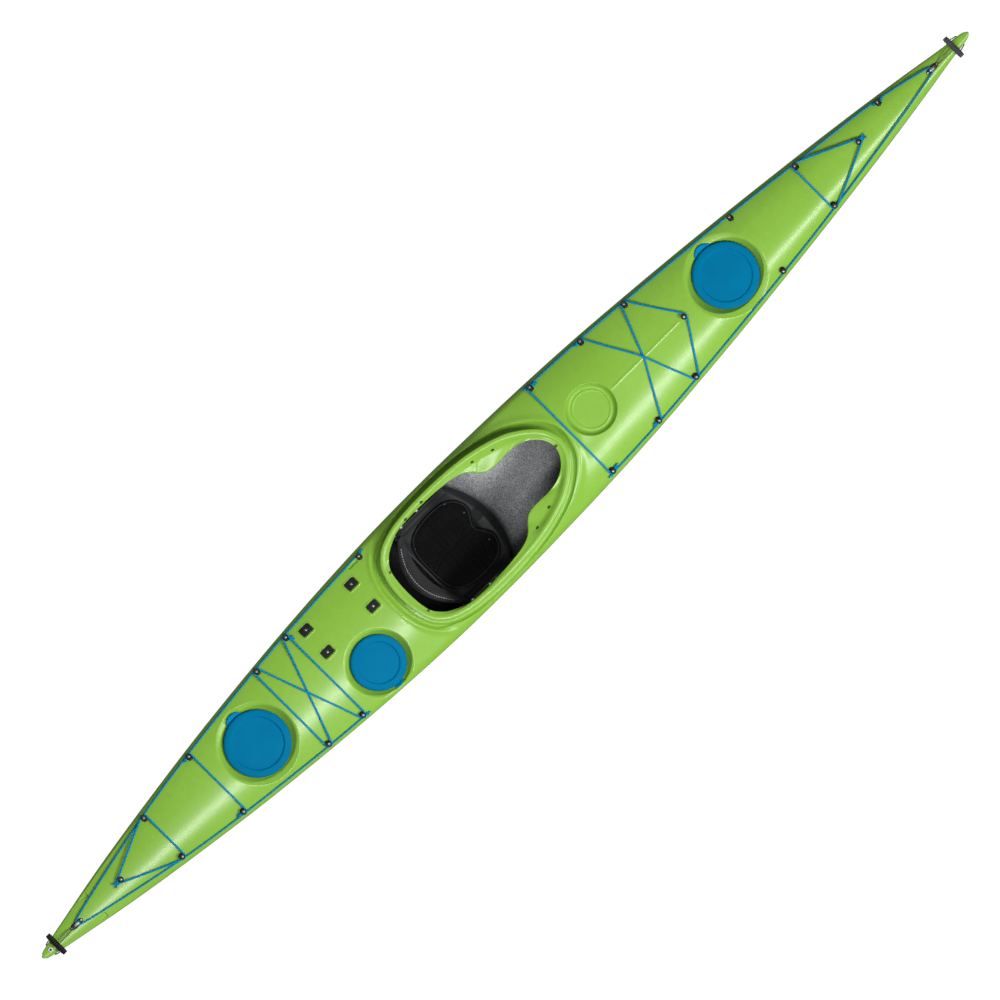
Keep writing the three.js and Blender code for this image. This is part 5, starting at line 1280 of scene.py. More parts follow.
# ------------------------------------------------------------------ hatch covers
def build_cover(name):
    p, n, cover, recess, depth, tab, side = HATCHES[name]
    z0 = -depth + 0.8
    r = cover
    ring = cover - 31
    skirt = cover - 10 + 0.5
    prof = [
        (0, z0 + 17), (skirt, z0 + 16), (skirt, z0 + 0.6), (r - 3, z0), (r, z0 + 2.5), (r, z0 + 13), (r - 1.5, z0 + 17.5), (r - 6, z0 + 20.6),
        (ring + 14, z0 + 22.2), (ring + 3.4, z0 + 22.6), (ring - 1.4, z0 + 17.2), (ring * 0.6, z0 + 18.4), (0, z0 + 19.4),
    ]
    radii = [0, 2, 1.4, 1.2, 2, 2.5, 3.2, 6, 8, 2.0, 2.2, 30, 0]
    v, f = lathe(round_profile(prof, radii, 5), 168)
    parts = [(v, f)]
    # tab: a thin crescent beyond the cover's edge, set off by a groove, that rises to a rolled grip edge
    tr = tab
    cc = {"stern": 113, "day": 101, "bow": 112}[name]
    inner = cover - 5
    q = (inner * inner - cc * cc - tr * tr) / (2 * cc)
    w = math.sqrt(max(1, tr * tr - q * q)) * 0.995
    cols, rows = 41, 22
    top, low = [], []
    for i in range(cols):
        a = -1 + 2 * i / (cols - 1)
        x = w * math.sin(a * math.pi / 2)
        base = math.sqrt(inner * inner - x * x)
        tip = max(base + 0.4, cc + math.sqrt(max(0, tr * tr - x * x)))
        full = (cc + tr) - inner
        for j in range(rows):
            t = j / (rows - 1)
            y = base + (tip - base) * t
            far = (tip - base) * t / full
            back = (tip - base) * (1 - t)
            roll = 1.8 * bump(back - 4.5, 2.4) - 2.6 * smooth(2.6, 0, back)
            z = z0 + 9.0 + 5.5 * far + roll - 4.5 * bump((tip - base) * t - 6.2, 1.6)
            top.append((x, side * y, z))
            low.append((x, side * y, min(z - 2.2, z0 + 5.0 + 5.0 * far)))
    T = np.array(top + low)
    faces = grid_faces(cols, rows, flip=side > 0) + grid_faces(cols, rows, base=cols * rows, flip=side < 0)
    m = cols * rows

    def g(i, j):
        return i * rows + j

    ringe = [g(i, 0) for i in range(cols)] + [g(cols - 1, j) for j in range(1, rows)] + [g(i, rows - 1) for i in range(cols - 2, -1, -1)] + [g(0, j) for j in range(rows - 2, 0, -1)]
    for a in range(len(ringe)):
        u, w2 = ringe[a], ringe[(a + 1) % len(ringe)]
        faces.append([u, w2, w2 + m, u + m] if side < 0 else [w2, u, u + m, w2 + m])
    parts.append((T, faces))
    V, F = merge(*parts)
    ob = make("hatch_lid_" + name, placed(V, p, n), F, (BLUE, BLUE_TAB), [0] * len(f) + [1] * len(faces))
    return crease(ob, 55)


for name in HATCHES:
    finish_piece(build_cover(name), "hatch_blue", "hatch_cover_" + name, body={"stern": "stern_hatch_cover", "day": "day_hatch_cover", "bow": "bow_hatch_cover"}[name])


# ------------------------------------------------------------------ deck fittings
def domed_bolt(r, h, sides=24):
    prof = [(0, -2.5), (r * 0.98, -2.5), (r, -0.2)]
    prof += [(r * math.cos(a), h * math.sin(a)) for a in np.linspace(0.12, math.pi / 2 - 0.12, 7)]
    prof += [(0, h)]
    return lathe(prof, sides)


def post_mesh():
    prof = [
        (0, -6), (12.4, -6), (12.4, 0.4), (11.4, 2.2), (9.0, 3.0), (7.6, 4.4), (7.4, 10), (7.6, 16.6), (9.0, 18.0), (11.4, 18.6),
        (12.0, 20.2), (11.6, 22.4), (10.0, 24.0), (8.4, 24.4), (7.9, 23.4), (0, 23.4),
    ]
    return lathe(round_profile(prof, 0.9, 3), 32)


for name, (p, n) in POSTS.items():
    v, f = post_mesh()
    ob = make("post_" + name, placed(v, p, n), f, (BLACK,))
    finish_piece(crease(ob, 50), "black_plastic", "fitting_" + name)
    v, f = domed_bolt(7.4, 4.2)
    v = v + [0, 0, 23.8]
    ob = make("post_bolt_" + name, placed(v, p, n), f, (STEEL,))
    finish_piece(crease(ob, 50), "steel")


def rounded_box(a, b, z0, z1, r, edge=1.6, corner=6):
    """A rounded rectangle of half sizes a, b with eased upper edges."""
    def loop(inset):
        pts = []
        for cx, cy, a0 in ((a - r, b - r, 0), (-(a - r), b - r, 90), (-(a - r), -(b - r), 180), (a - r, -(b - r), 270)):
            for k in range(corner + 1):
                t = math.radians(a0 + 90 * k / corner)
                pts.append((cx + (r - inset) * math.cos(t), cy + (r - inset) * math.sin(t)))
        return pts
    levels = [(0, z0), (0, z1 - edge)]
    for k in range(1, 5):
        t = k / 4 * math.pi / 2
        levels.append((edge * (1 - math.cos(t)), z1 - edge + edge * math.sin(t)))
    V = []
    for ins, z in levels:
        V += [(x, y, z) for x, y in loop(ins)]
    m = 4 * (corner + 1)
    faces = grid_faces(len(levels), m, close_cols=True, flip=True)
    top = (len(levels) - 1) * m
    faces.append([top + i for i in range(m)])
    faces.append([i for i in range(m)][::-1])
    return np.array(V), faces


for name, (p, n) in PADS.items():
    v, f = rounded_box(25, 17.5, -3.5, 5.2, 5, 1.8)
    parts = [(v, f)]
    # moulded ribs on the pad
    for k in (-1, 1):
        rv, rf = rounded_box(2.2, 12, 4.6, 6.6, 2.0, 0.8, 4)
        parts.append((rv + [k * 15.5, 0, 0], rf))
    V, F = merge(*parts)
    ob = make("pad_" + name, placed(V, p, n), F, (PAD,))
    finish_piece(crease(ob, 50), "black_rubber", "deck_pad_" + name)
    v, f = domed_bolt(6.2, 2.4)
    ob = make("pad_screw_" + name, placed(v + [0, 0, 5.2], p, n), f, (STEEL,))
    finish_piece(crease(ob, 50), "steel")

# end saddles: an oval plate with a strap that the lines pass under, and two screws
for key, (p, n) in SADDLES.items():
    out = []
    for ins, z in ((0, -4), (0, 1.6), (0.6, 2.6), (2.0, 3.1)):
        for i in range(48):
            a = 2 * math.pi * i / 48
            c, s = math.cos(a), math.sin(a)
            out.append(((22 * np.sign(c) * abs(c) ** 0.6 + 10 * c) * (1 - ins / 30), 12 * s * (1 - ins / 13), z))
    f = grid_faces(4, 48, close_cols=True, flip=True)
    f.append([3 * 48 + i for i in range(48)])
    f.append([i for i in range(48)][::-1])
    arch = catmull([(-18, 0, 1.5), (-15.5, 0, 7), (-12.5, 0, 12.2), (-8, 0, 13.8), (0, 0, 14.2), (8, 0, 13.8), (12.5, 0, 12.2), (15.5, 0, 7), (18, 0, 1.5)], step=1.5)
    t = np.gradient(arch, axis=0)
    t /= np.linalg.norm(t, axis=1)[:, None]
    up = np.stack([-t[:, 2], t[:, 1] * 0, t[:, 0]], 1)
    sec = [(-6, -1.1), (-5.4, 1.0), (-3, 1.6), (3, 1.6), (5.4, 1.0), (6, -1.1), (5, -1.5), (-5, -1.5)]
    sv = np.array([[q + up[i] * h + np.array([0, 1, 0]) * w for w, h in sec] for i, q in enumerate(arch)]).reshape(-1, 3)
    sf = grid_faces(len(arch), len(sec), close_cols=True)
    sf.append(list(range(len(sec)))[::-1])
    sf.append([(len(arch) - 1) * len(sec) + i for i in range(len(sec))])
    V, F = merge((np.array(out), f), (sv, sf))
    ob = make(key + "_line_saddle", placed(V, p, n), F, (BLACK, SADDLE), [0] * len(f) + [1] * len(sf))
    finish_piece(crease(ob, 45), "steel", key + "_saddle")
    for k in (-1, 1):
        v, f = domed_bolt(4.0, 2.2)
        ob = make(key + "_saddle_screw_" + ("fore" if k > 0 else "aft"), placed(v + [k * 25, 0, 3], p, n), f, (BOLT,))
        finish_piece(crease(ob, 50), "steel")


# ------------------------------------------------------------------ cords
def deck_clear(P, r):
    """A copy of a cord's points, with the finished deck's height under each."""
    P = P.copy()
    z = height(P[:, 0], P[:, 1])
    return P, z


def trefoil(p, size, yaw=0.0, pitch=0.0, r=3.0):
    """An overhand knot drawn tight."""
    t = np.linspace(0, 2 * math.pi, 48, endpoint=False)
    K = np.stack([np.sin(t) + 2 * np.sin(2 * t), np.cos(t) - 2 * np.cos(2 * t), -1.15 * np.sin(3 * t)], 1) / 3.0
    K = K * np.array(size) * 0.62
    c, s = math.cos(yaw), math.sin(yaw)
    K = np.stack([K[:, 0] * c - K[:, 1] * s, K[:, 0] * s + K[:, 1] * c, K[:, 2]], 1) + np.array(p, float)
    return tube(K, r, 10, closed=True)


def frayed(p, d, length, r, seed):
    """A short free end that opens into strands."""
    d = np.array(d, float)
    d /= np.linalg.norm(d)
    p = np.array(p, float)
    side = np.cross(d, [0, 0, 1])
    side /= np.linalg.norm(side)
    parts = [tube([p, p + d * length * 0.45, p + d * length * 0.6], [r, r * 1.04, r * 0.9], 10)]
    rng = np.random.RandomState(seed)
    for k in range(9):
        a = 2 * math.pi * k / 9 + rng.uniform(-0.2, 0.2)
        o = (side * math.cos(a) + np.array([0, 0, 1]) * math.sin(a) * 0.6) * r * 0.55
        e = p + d * length * rng.uniform(0.9, 1.08) + o * rng.uniform(1.8, 3.0)
        parts.append(tube([p + d * length * 0.5 + o * 0.8, p + d * length * 0.75 + o * 1.5, e], r * 0.26, 5))
    return join_uv(*parts)


def seat_cord(pts, r, lift=0.4):
    """The route as a smooth curve that keeps off the deck's surface."""
    P = catmull(pts, step=5.0)
    z = height(P[:, 0], P[:, 1])
    P[:, 2] = np.where(P[:, 2] < z + r + lift, z + r + lift, P[:, 2])
    # ease the lifted stretches
    for _ in range(4):
        P[1:-1, 2] = np.maximum((P[:-2, 2] + 2 * P[1:-1, 2] + P[2:, 2]) / 4, np.minimum(P[1:-1, 2], z[1:-1] + r + lift))
    return P


def spot(name, offset, up=12.5):
    """A place beside a fitting's neck, at the height where the cord goes round."""
    p, n = POSTS[name]
    return tuple(np.array(p) + np.array(n) * up + np.array(offset, float))


def ends(name, k=0, back=0.0):
    P = np.array(ROUTES[name])
    a, b = (P[0], P[1]) if k == 0 else (P[-1], P[-2])
    d = (a - b) / np.linalg.norm(a - b)
    return a + d * back, d


RB, RL = 3.9, 3.2
SZ = (10.5, 8.5, 8)
KNOTS = {
    "bungee_stern": [(spot("aft_centre", (-20, 0, 0)), (9.5, 12, 8), 0)],
    "bungee_stern_hatch": [(spot("stern_hatch_port", (-20, 1, 0)), SZ, 0.3), (spot("stern_hatch_starboard", (-20, -1, 0)), SZ, -0.3)],
    "bungee_aft_deck": [(spot("rear_deck_port", (12, -18, 1)), (8.5, 11, 8), 0.1)],
    "bungee_foredeck_single": [(spot("foredeck_1_port", (20, -1, 0)), SZ, 0), (spot("foredeck_1_starboard", (20, 1, 0)), SZ, 0)],
    "bungee_foredeck": [(spot("foredeck_2_port", (-19, 3, -1)), SZ, 0.2), (spot("foredeck_2_starboard", (-19, -3, -1)), SZ, -0.2)],
    "bungee_bow": [(spot("fore_centre", (20, 0, 0)), (9.5, 12, 8), 0)],
    "deck_line_aft": [(ends("deck_line_aft", 0)[0], (10, 8, 7), 0), (ends("deck_line_aft", 1)[0], (10, 8, 7), 0)],
    "deck_line_fore": [(ends("deck_line_fore", 0)[0], (10, 8, 7), 0), (ends("deck_line_fore", 1)[0], (10, 8, 7), 0), (spot("bow_port", (-17, 4, -2)), (9, 7, 7), 0.2), (spot("bow_port", (17, 0, -2)), (9, 7, 7), -0.2)],
}
TAILS = {
    "bungee_stern": [(spot("aft_centre", (-25, 4, -1)), (-1, 0.5, -0.05), 14), (spot("aft_centre", (-25, -4, -1)), (-1, -0.5, -0.05), 14)],
    "bungee_stern_hatch": [(spot("stern_hatch_port", (-26, 3, -2)), (-1, 0.4, -0.15), 9), (spot("stern_hatch_starboard", (-26, -3, -2)), (-1, -0.4, -0.15), 9)],
    "bungee_aft_deck": [(spot("rear_deck_port", (16, -24, 0)), (0.9, -0.5, 0.1), 9), (spot("rear_deck_port", (17, -16, 0)), (0.9, 0.4, 0), 9)],
    "bungee_foredeck_single": [(spot("foredeck_1_port", (26, -3, 0)), (1, -0.4, 0), 9), (spot("foredeck_1_starboard", (26, 3, 0)), (1, 0.4, 0), 9)],
    "bungee_foredeck": [(spot("foredeck_2_port", (-24, 6, -2)), (-1, 0.4, -0.2), 9), (spot("foredeck_2_starboard", (-24, -6, -2)), (-1, -0.4, -0.2), 9)],
    "bungee_bow": [(spot("fore_centre", (25, 4, 0)), (1, 0.4, 0), 12), (spot("fore_centre", (25, -4, 0)), (1, -0.4, 0), 12)],
    "deck_line_aft": [(ends("deck_line_aft", 0, 5)[0], ends("deck_line_aft", 0)[1], 10), (ends("deck_line_aft", 1, 5)[0], ends("deck_line_aft", 1)[1], 10)],
    "deck_line_fore": [(ends("deck_line_fore", 0, 5)[0], ends("deck_line_fore", 0)[1], 10), (ends("deck_line_fore", 1, 5)[0], ends("deck_line_fore", 1)[1], 10)],
}
for name, pts in ROUTES.items():
    if "toggle" in name:
        continue
    line = name.startswith("deck")
    r = RL if line else RB
    parts = [tube(seat_cord(pts, r), r, 12)]
    for i, (p, size, yaw) in enumerate(KNOTS[name]):
        parts.append(trefoil(p, size, yaw, r=r * 0.82))
    for i, (p, d, L) in enumerate(TAILS[name]):
        parts.append(frayed(p, d, L, r * 0.92, 11 * i + len(name)))
    V, F, U = join_uv(*parts)
    ob = make(name + "_cord", V, F, (CORD if line else ELASTIC,), uv=U)
    finish_piece(crease(ob, 60), "cord_blue" if line else "elastic_blue", name)


# ------------------------------------------------------------------ carrying toggles
def toggle_mesh():
    l, r = 51, 12
    prof = [(0, -l), (8.4, -l), (r - 1.1, -l + 2.6)]
    ribs = 9
    span = 2 * (l - 8)
    for k in range(ribs):
        c = -l + 8 + span * (k + 0.5) / ribs
        h = span / ribs / 2
        prof += [(r - 1.8, c - h * 0.96), (r - 0.2, c - h * 0.55), (r - 0.1, c + h * 0.55), (r - 1.8, c + h * 0.96)]
    prof += [(r - 1.1, l - 2.6), (8.4, l), (0, l)]
    v, f = lathe(round_profile(prof, 0.8, 2), 36)
    return np.stack([v[:, 0], v[:, 2], -v[:, 1]], 1), f


for s, key in ((-1, "stern"), (1, "bow")):
    lo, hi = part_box(key + "_toggle")
    c = [(lo[i] + hi[i]) / 2 / MM for i in range(3)]
    v, f = toggle_mesh()
    ob = make(key + "_grip", v + c, f, (GRIP[key],))
    finish_piece(crease(ob, 50), "black_rubber", key + "_toggle", body=key + "_toggle")
    v, f, u = tube(catmull(ROUTES[key + "_toggle_loop"], step=2.5), 2.4, 10)
    ob = make(key + "_loop", v, f, (CORD_BLACK,), uv=u)
    finish_piece(ob, "cord_black", key + "_toggle_loop", body=key + "_toggle")
    v, f, u = tube(catmull(ROUTES[key + "_toggle_keeper"], step=2.5), 1.6, 10)
    ob = make(key + "_keeper", v, f, (KEEPER,), uv=u)
    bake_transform(ob)
    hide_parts(key + "_toggle_keeper")

lo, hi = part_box("stern_bush")
v, f = lathe(round_profile([(5.2, 0), (8, 0), (8, 17.2), (9.6, 18.4), (9.6, 20.0), (5.2, 20.0)][::1], 0.5, 3), 40, closed=True)
ob = make("stern_pin_bush", v + [-2554, 0, lo[2] / MM], f, (NYLON,))
finish_piece(crease(ob, 40), "white_nylon", "stern_bush")
# painted shade: a black disc inside the bush's bore stands in for the dark of the hole
v, f = lathe([(0, 15.0), (5.25, 15.0), (5.25, 17.6), (4.7, 18.0), (0, 17.2)], 32)
ob = make("stern_bush_bore_shade_disc", v + [-2554, 0, lo[2] / MM], f, (BLACK,))
finish_piece(crease(ob, 40), "black_plastic")


# ------------------------------------------------------------------ seat
SEAT_AFT, SEAT_FORE, SEAT_HALF = -436.0, -84.0, 200.0


def seat_z(x, y):
    f = np.minimum(1, np.abs(y) / SEAT_HALF)
    nose = 15 * np.maximum(0, 1 - np.abs(y) / 54) * smooth(-176, -152, x) * (1 - smooth(-122, -98, x))
    return 44 + 46 * f ** 3 + 26 * smooth(-230, -120, x) - 30 * smooth(-118, -84, x) + 20 * (1 - f ** 4) * (1 - smooth(-436, -390, x)) + nose


def seat_front(y):
    return SEAT_FORE - 60 * (np.abs(y) / SEAT_HALF) ** 2


def pan_z(x, y):
    """Height of the pan at a point in plan."""
    t = np.clip((x - SEAT_AFT) / (seat_front(y) - SEAT_AFT), 0, 1)
    return seat_z(x + (SEAT_FORE - seat_front(y)) * t, y)


def build_pan():
    ny, nx = 121, 111
    rows = []
    for y in np.linspace(-199.5, 199.5, ny):
        t = np.linspace(0, 1, nx)
        x = SEAT_AFT + (seat_front(y) - SEAT_AFT) * t
        z = seat_z(x + (SEAT_FORE - seat_front(y)) * t, np.full_like(x, y))
        back = (1 - t) * (seat_front(y) - SEAT_AFT)
        z = z + 3.2 * bump(back - 17, 3.4) - 1.6 * bump(back - 26, 3.0) + 1.4 * bump(back - 2.5, 2.0)
        # a low raised ridge along each side of the pan, the hip pads' shoulders
        z = z + 2.2 * bump(np.abs(y) - 178, 3.2) * smooth(8, 30, back)
        rows.append(np.stack([x, np.full_like(x, y), z], 1))
    top = np.array(rows)
    low = top - [0, 0, 4.0]
    V = np.vstack([top.reshape(-1, 3), low.reshape(-1, 3)])
    m = ny * nx
    F = grid_faces(ny, nx, flip=True) + grid_faces(ny, nx, base=m)
    ring = [j for j in range(nx)] + [i * nx + nx - 1 for i in range(1, ny)] + [(ny - 1) * nx + j for j in range(nx - 2, -1, -1)] + [i * nx for i in range(ny - 2, 0, -1)]
    for a in range(len(ring)):
        u, w = ring[a], ring[(a + 1) % len(ring)]
        F.append([u, u + m, w + m, w])
    q = F[10]
    if np.cross(V[q[1]] - V[q[0]], V[q[2]] - V[q[0]])[2] < 0:
        F = [f[::-1] for f in F]
    return V, F


def side_plate(s):
    pts = [(-432, 78), (-150, 78), (-132, 110), (-160, 210), (-230, 312), (-402, 300), (-436, 210)]
    pts = [(x, min(z, float(rim_z(x)) - 14)) for x, z in pts]
    P = np.array(pts, float)
    out = []
    for i in range(len(P)):
        a, b, c = P[i - 1], P[i], P[(i + 1) % len(P)]
        k = 18.0
        u, w = (a - b) / np.linalg.norm(a - b), (c - b) / np.linalg.norm(c - b)
        for t in np.linspace(0, 1, 7):
            out.append((1 - t) ** 2 * (b + u * k) + 2 * t * (1 - t) * b + t * t * (b + w * k))
    out = np.array(out)
    mid = out.mean(0)
    V = []
    for depth, k in ((0, 0.985), (0.8, 1.0), (4.2, 1.0), (5, 0.985), (5, 0.93), (3.4, 0.90)):
        q = mid + (out - mid) * k
        V += [(x, s * (203 - depth), z) for x, z in q]
    n = len(out)
    F = grid_faces(6, n, close_cols=True, flip=s < 0)
    F.append([i for i in range(n)][::(-1 if s < 0 else 1)])
    F.append([5 * n + i for i in range(n)][::(1 if s < 0 else -1)])
    return np.array(V), F


V, F = merge(build_pan(), side_plate(1), side_plate(-1))
ob = make("seat_pan", V, F, (SEAT,))
finish_piece(crease(ob, 35), "seat_dark", "seat_shell")

CUSHION = [(-434, 0), (-432, 60), (-420, 110), (-392, 145), (-340, 166), (-270, 173), (-200, 166), (-156, 140), (-134, 104), (-130, 72), (-146, 36), (-166, 0)]


def slab(rings):
    """A closed body from rings of equal length, first and last closed by a fan."""
    R = np.array(rings)
    k, n = R.shape[:2]
    V = R.reshape(-1, 3)
    F = grid_faces(k, n, close_cols=True)
    V = np.vstack([V, R[0].mean(0), R[-1].mean(0)])
    a, b = k * n, k * n + 1
    for i in range(n):
        j = (i + 1) % n
        F.append([a, i, j][::-1])
        F.append([b, (k - 1) * n + i, (k - 1) * n + j])
    return V, F


def turn_out(ob):
    bpy.context.view_layer.objects.active = ob
    import bmesh
    bm = bmesh.new()
    bm.from_mesh(ob.data)
    bmesh.ops.recalc_face_normals(bm, faces=bm.faces)
    bm.to_mesh(ob.data)
    bm.free()


def plump(ob, voxel, cap, pressure=4.0, floor=None):
    """Fills a sewn shape with a cloth simulation, and keeps it near its pattern."""
    bpy.ops.object.select_all(action="DESELECT")
    ob.select_set(True)
    bpy.context.view_layer.objects.active = ob
    re = ob.modifiers.new("even", "REMESH")
    re.mode = "VOXEL"
    re.voxel_size = voxel
    bpy.ops.object.modifier_apply(modifier=re.name)
    n = len(ob.data.vertices)
    before = np.empty(n * 3)
    ob.data.vertices.foreach_get("co", before)
    cl = ob.modifiers.new("fill", "CLOTH")
    st = cl.settings
    st.quality = 5
    st.mass = 0.15
    st.tension_stiffness = st.compression_stiffness = 12
    st.shear_stiffness = 6
    st.bending_stiffness = 0.6
    st.use_pressure = True
    st.uniform_pressure_force = pressure
    st.effector_weights.gravity = 0
    cl.collision_settings.use_collision = False
    cl.point_cache.frame_start, cl.point_cache.frame_end = 1, 20
    sc = bpy.context.scene
    for f in range(1, 21):
        sc.frame_set(f)
    dg = bpy.context.evaluated_depsgraph_get()
    ev = ob.evaluated_get(dg)
    after = np.empty(n * 3)
    ev.data.vertices.foreach_get("co", after)
    ob.modifiers.remove(cl)
    sc.frame_set(1)
    a, b = before.reshape(-1, 3), after.reshape(-1, 3)
    d = np.where(np.isfinite(b), b - a, 0)
    L = np.linalg.norm(d, axis=1, keepdims=True)
    d *= np.minimum(1, cap / np.maximum(L, 1e-9))
    c = a + d
    if floor is not None:
        c[:, 2] = np.maximum(c[:, 2], floor(c[:, 0] / MM, c[:, 1] / MM) * MM)
    ob.data.vertices.foreach_set("co", c.ravel())
    ob.data.update()
    print(ob.name, n, "vertices, moved up to", round(float(L.max()) * 1000, 1), "mm, kept", round(cap * 1000, 1))
    sub = ob.modifiers.new("fine", "SUBSURF")
    sub.levels = 1
    bpy.ops.object.modifier_apply(modifier=sub.name)
    ob.data.polygons.foreach_set("use_smooth", [True] * len(ob.data.polygons))


def away(P, line):
    """Distance in plan from points to a polyline."""
    best = np.full(len(P), 1e9)
    L = np.array(line, float)
    for a, b in zip(L[:-1], L[1:]):
        e = b - a
        t = np.clip(((P[:, :2] - a) @ e) / (e @ e), 0, 1)
        best = np.minimum(best, np.hypot(*(P[:, :2] - a - t[:, None] * e).T))
    return best


def drape(ob, pts, lift):
    """Heights of a line laid on a piece from above."""
    from mathutils.bvhtree import BVHTree
    tree = BVHTree.FromObject(ob, bpy.context.evaluated_depsgraph_get())
    out = []
    for x, y in pts:
        hit = tree.ray_cast(Vector((x * MM, y * MM, 1.0)), Vector((0, 0, -1)))
        out.append((x, y, hit[0].z / MM + lift if hit[0] is not None else np.nan))
    out = np.array(out)
    bad = np.isnan(out[:, 2])
    if bad.any() and not bad.all():
        k = np.arange(len(out))
        out[bad, 2] = np.interp(k[bad], k[~bad], out[~bad, 2])
    return out


# the cushion: a filled pad on the pan, with quilted ribs, a centre seam and double piping
C_OUT = outline(CUSHION, 220)
C_MID = np.array([-285.0, 0.0])


def cushion_ring(k, lift):
    q = C_MID + (C_OUT - C_MID) * k
    return np.column_stack([q, pan_z(q[:, 0], q[:, 1]) + lift])


rings = [cushion_ring(k, 2.2) for k in (0.05, 0.3, 0.55, 0.78, 0.95)] + [cushion_ring(0.985, 5), cushion_ring(0.985, 13), cushion_ring(0.955, 18)]
rings += [cushion_ring(k, 19.5) for k in (0.9, 0.75, 0.5, 0.25, 0.05)]
V, F = slab(rings)
pad = make("cushion", V, F, (FABRIC,))
turn_out(pad)
plump(pad, 0.0048, 0.007, 4.0, lambda x, y: pan_z(x, y) + 1.0)
me = pad.data
n = len(me.vertices)
co = np.empty(n * 3)
me.vertices.foreach_get("co", co)
P = co.reshape(-1, 3) / MM
nor = np.empty(n * 3)
me.vertices.foreach_get("normal", nor)
up = smooth(0.25, 0.7, nor.reshape(-1, 3)[:, 2])
inset = away(P, np.vstack([C_OUT, C_OUT[:1]]))
body = smooth(14, 22, inset)
sink = np.zeros(n)
for x in (-350.7, -322.9, -301, -275, -251, -225.5, -199.7, -175.8):
    sink = np.maximum(sink, 4.4 * bump(P[:, 0] - x, 3.2) * smooth(9, 17, np.abs(P[:, 1])) * smooth(168, 156, np.abs(P[:, 1])))
seams = [[(-434, 0), (-168, 0)]]
for s in (1, -1):
    seams.append([(-422, s * 30), (-400, s * 17), (-374, s * 8), (-345, s * 3)])
seams.append([(-275, 4), (-235, 12), (-200, 27), (-166, 48)])
seams.append([(-275, -10), (-235, -20), (-200, -38), (-166, -62)])
for line in seams:
    sink = np.maximum(sink, 5.0 * bump(away(P, line), 3.0))
sink = sink * body
sink = np.maximum(sink, 4.2 * bump(inset - 8.0, 2.8) * smooth(1, 4, inset))
P[:, 2] -= sink * up
me.vertices.foreach_set("co", (P * MM).ravel())
me.update()
finish_piece(pad, "upholstery_black", "seat_cushion")
for k, (ins, r) in enumerate(((-1.2, 2.7), (12.0, 2.3))):
    d = np.linalg.norm(C_OUT - C_MID, axis=1)[:, None]
    nrm = np.roll(C_OUT, -1, 0) - np.roll(C_OUT, 1, 0)
    nrm = np.stack([nrm[:, 1], -nrm[:, 0]], 1) / np.linalg.norm(nrm, axis=1)[:, None]
    nrm *= np.sign((nrm * (C_OUT - C_MID)).sum(1))[:, None]
    q = C_OUT - nrm * (ins + 2)
    line = drape(pad, q, 0.6)
    if k == 0:
        line[:, 2] = np.maximum(line[:, 2], pan_z(q[:, 0], q[:, 1]) + 14.5)
    for _ in range(3):
        line[:, 2] = (np.roll(line[:, 2], 1) + 2 * line[:, 2] + np.roll(line[:, 2], -1)) / 4
    v, f, u = tube(line, r, 9, closed=True)
    ob = make("cushion_piping_%d" % k, v, f, (PIPING,), uv=u)
    finish_piece(ob, "upholstery_black")
for i, (u, v) in enumerate([(552, 26), (605, 37), (613, 17), (550, -27), (604, -41), (612, -20)]):
    x, y = px(u, v)
    q = drape(pad, [(x, y)], -0.8)[0]
    mv, mf = domed_bolt(4.2, 2.2)
    ob = make("cushion_stud_%d" % i, placed(mv, q, (0, 0, 1)), mf, (STUD,))
    finish_piece(crease(ob, 50), "steel")


# the backrest: a filled band curved round the paddler
def back_x(z, f):
    return -448 - 0.33 * (z - 98) + 70.3 * f * f


def back_section(y):
    f = abs(y) / 182
    b, t = 100 + 26 * f ** 3, 238 - 52 * f ** 2.5
    th = 22 - 6 * f
    pts = []
    for k in range(40):
        a = 2 * math.pi * k / 40
        c, s = math.cos(a), math.sin(a)
        h = math.copysign(abs(s) ** 0.42, s)
        w = math.copysign(abs(c) ** 0.62, c)
        z = (b + t) / 2 + h * (t - b) / 2 * 0.985
        pts.append((back_x(z, f) - th / 2 + w * th / 2, y, z))
    return pts


rings = []
for y in np.linspace(-1, 1, 97):
    yy = 180 * math.sin(y * math.pi / 2) ** 1 if abs(y) < 1 else 180 * y
    sec = np.array(back_section(yy))
    k = math.sqrt(max(0.02, 1 - smooth(0.955, 1.0, abs(yy) / 180).item() ** 2 * 0.96))
    mid = sec.mean(0)
    rings.append(mid + (sec - mid) * [1 if k > 0.9 else 0.4 + 0.6 * k, 1, k])
V, F = slab(rings)
band = make("backrest_pad", V, F, (BACKING,))
turn_out(band)
plump(band, 0.005, 0.006, 4.0)
me = band.data
n = len(me.vertices)
co = np.empty(n * 3)
me.vertices.foreach_get("co", co)
P = co.reshape(-1, 3) / MM
nor = np.empty(n * 3)
me.vertices.foreach_get("normal", nor)
N3 = nor.reshape(-1, 3)
f = np.abs(P[:, 1]) / 182
top = 238 - 52 * f ** 2.5
sink = 2.4 * bump(P[:, 2] - (top - 13), 2.4) + 1.6 * bump(P[:, 2] - (top - 62), 2.6) * smooth(165, 150, np.abs(P[:, 1]))
P -= N3 * (sink * smooth(0.1, 0.5, N3[:, 0]))[:, None]
P[:, 0] = np.minimum(P[:, 0], back_x(P[:, 2], f) + 1.5 + 3.0 * smooth(115, 190, P[:, 2]))
me.vertices.foreach_set("co", (P * MM).ravel())
me.update()
finish_piece(band, "upholstery_black", "backrest", body="backrest")
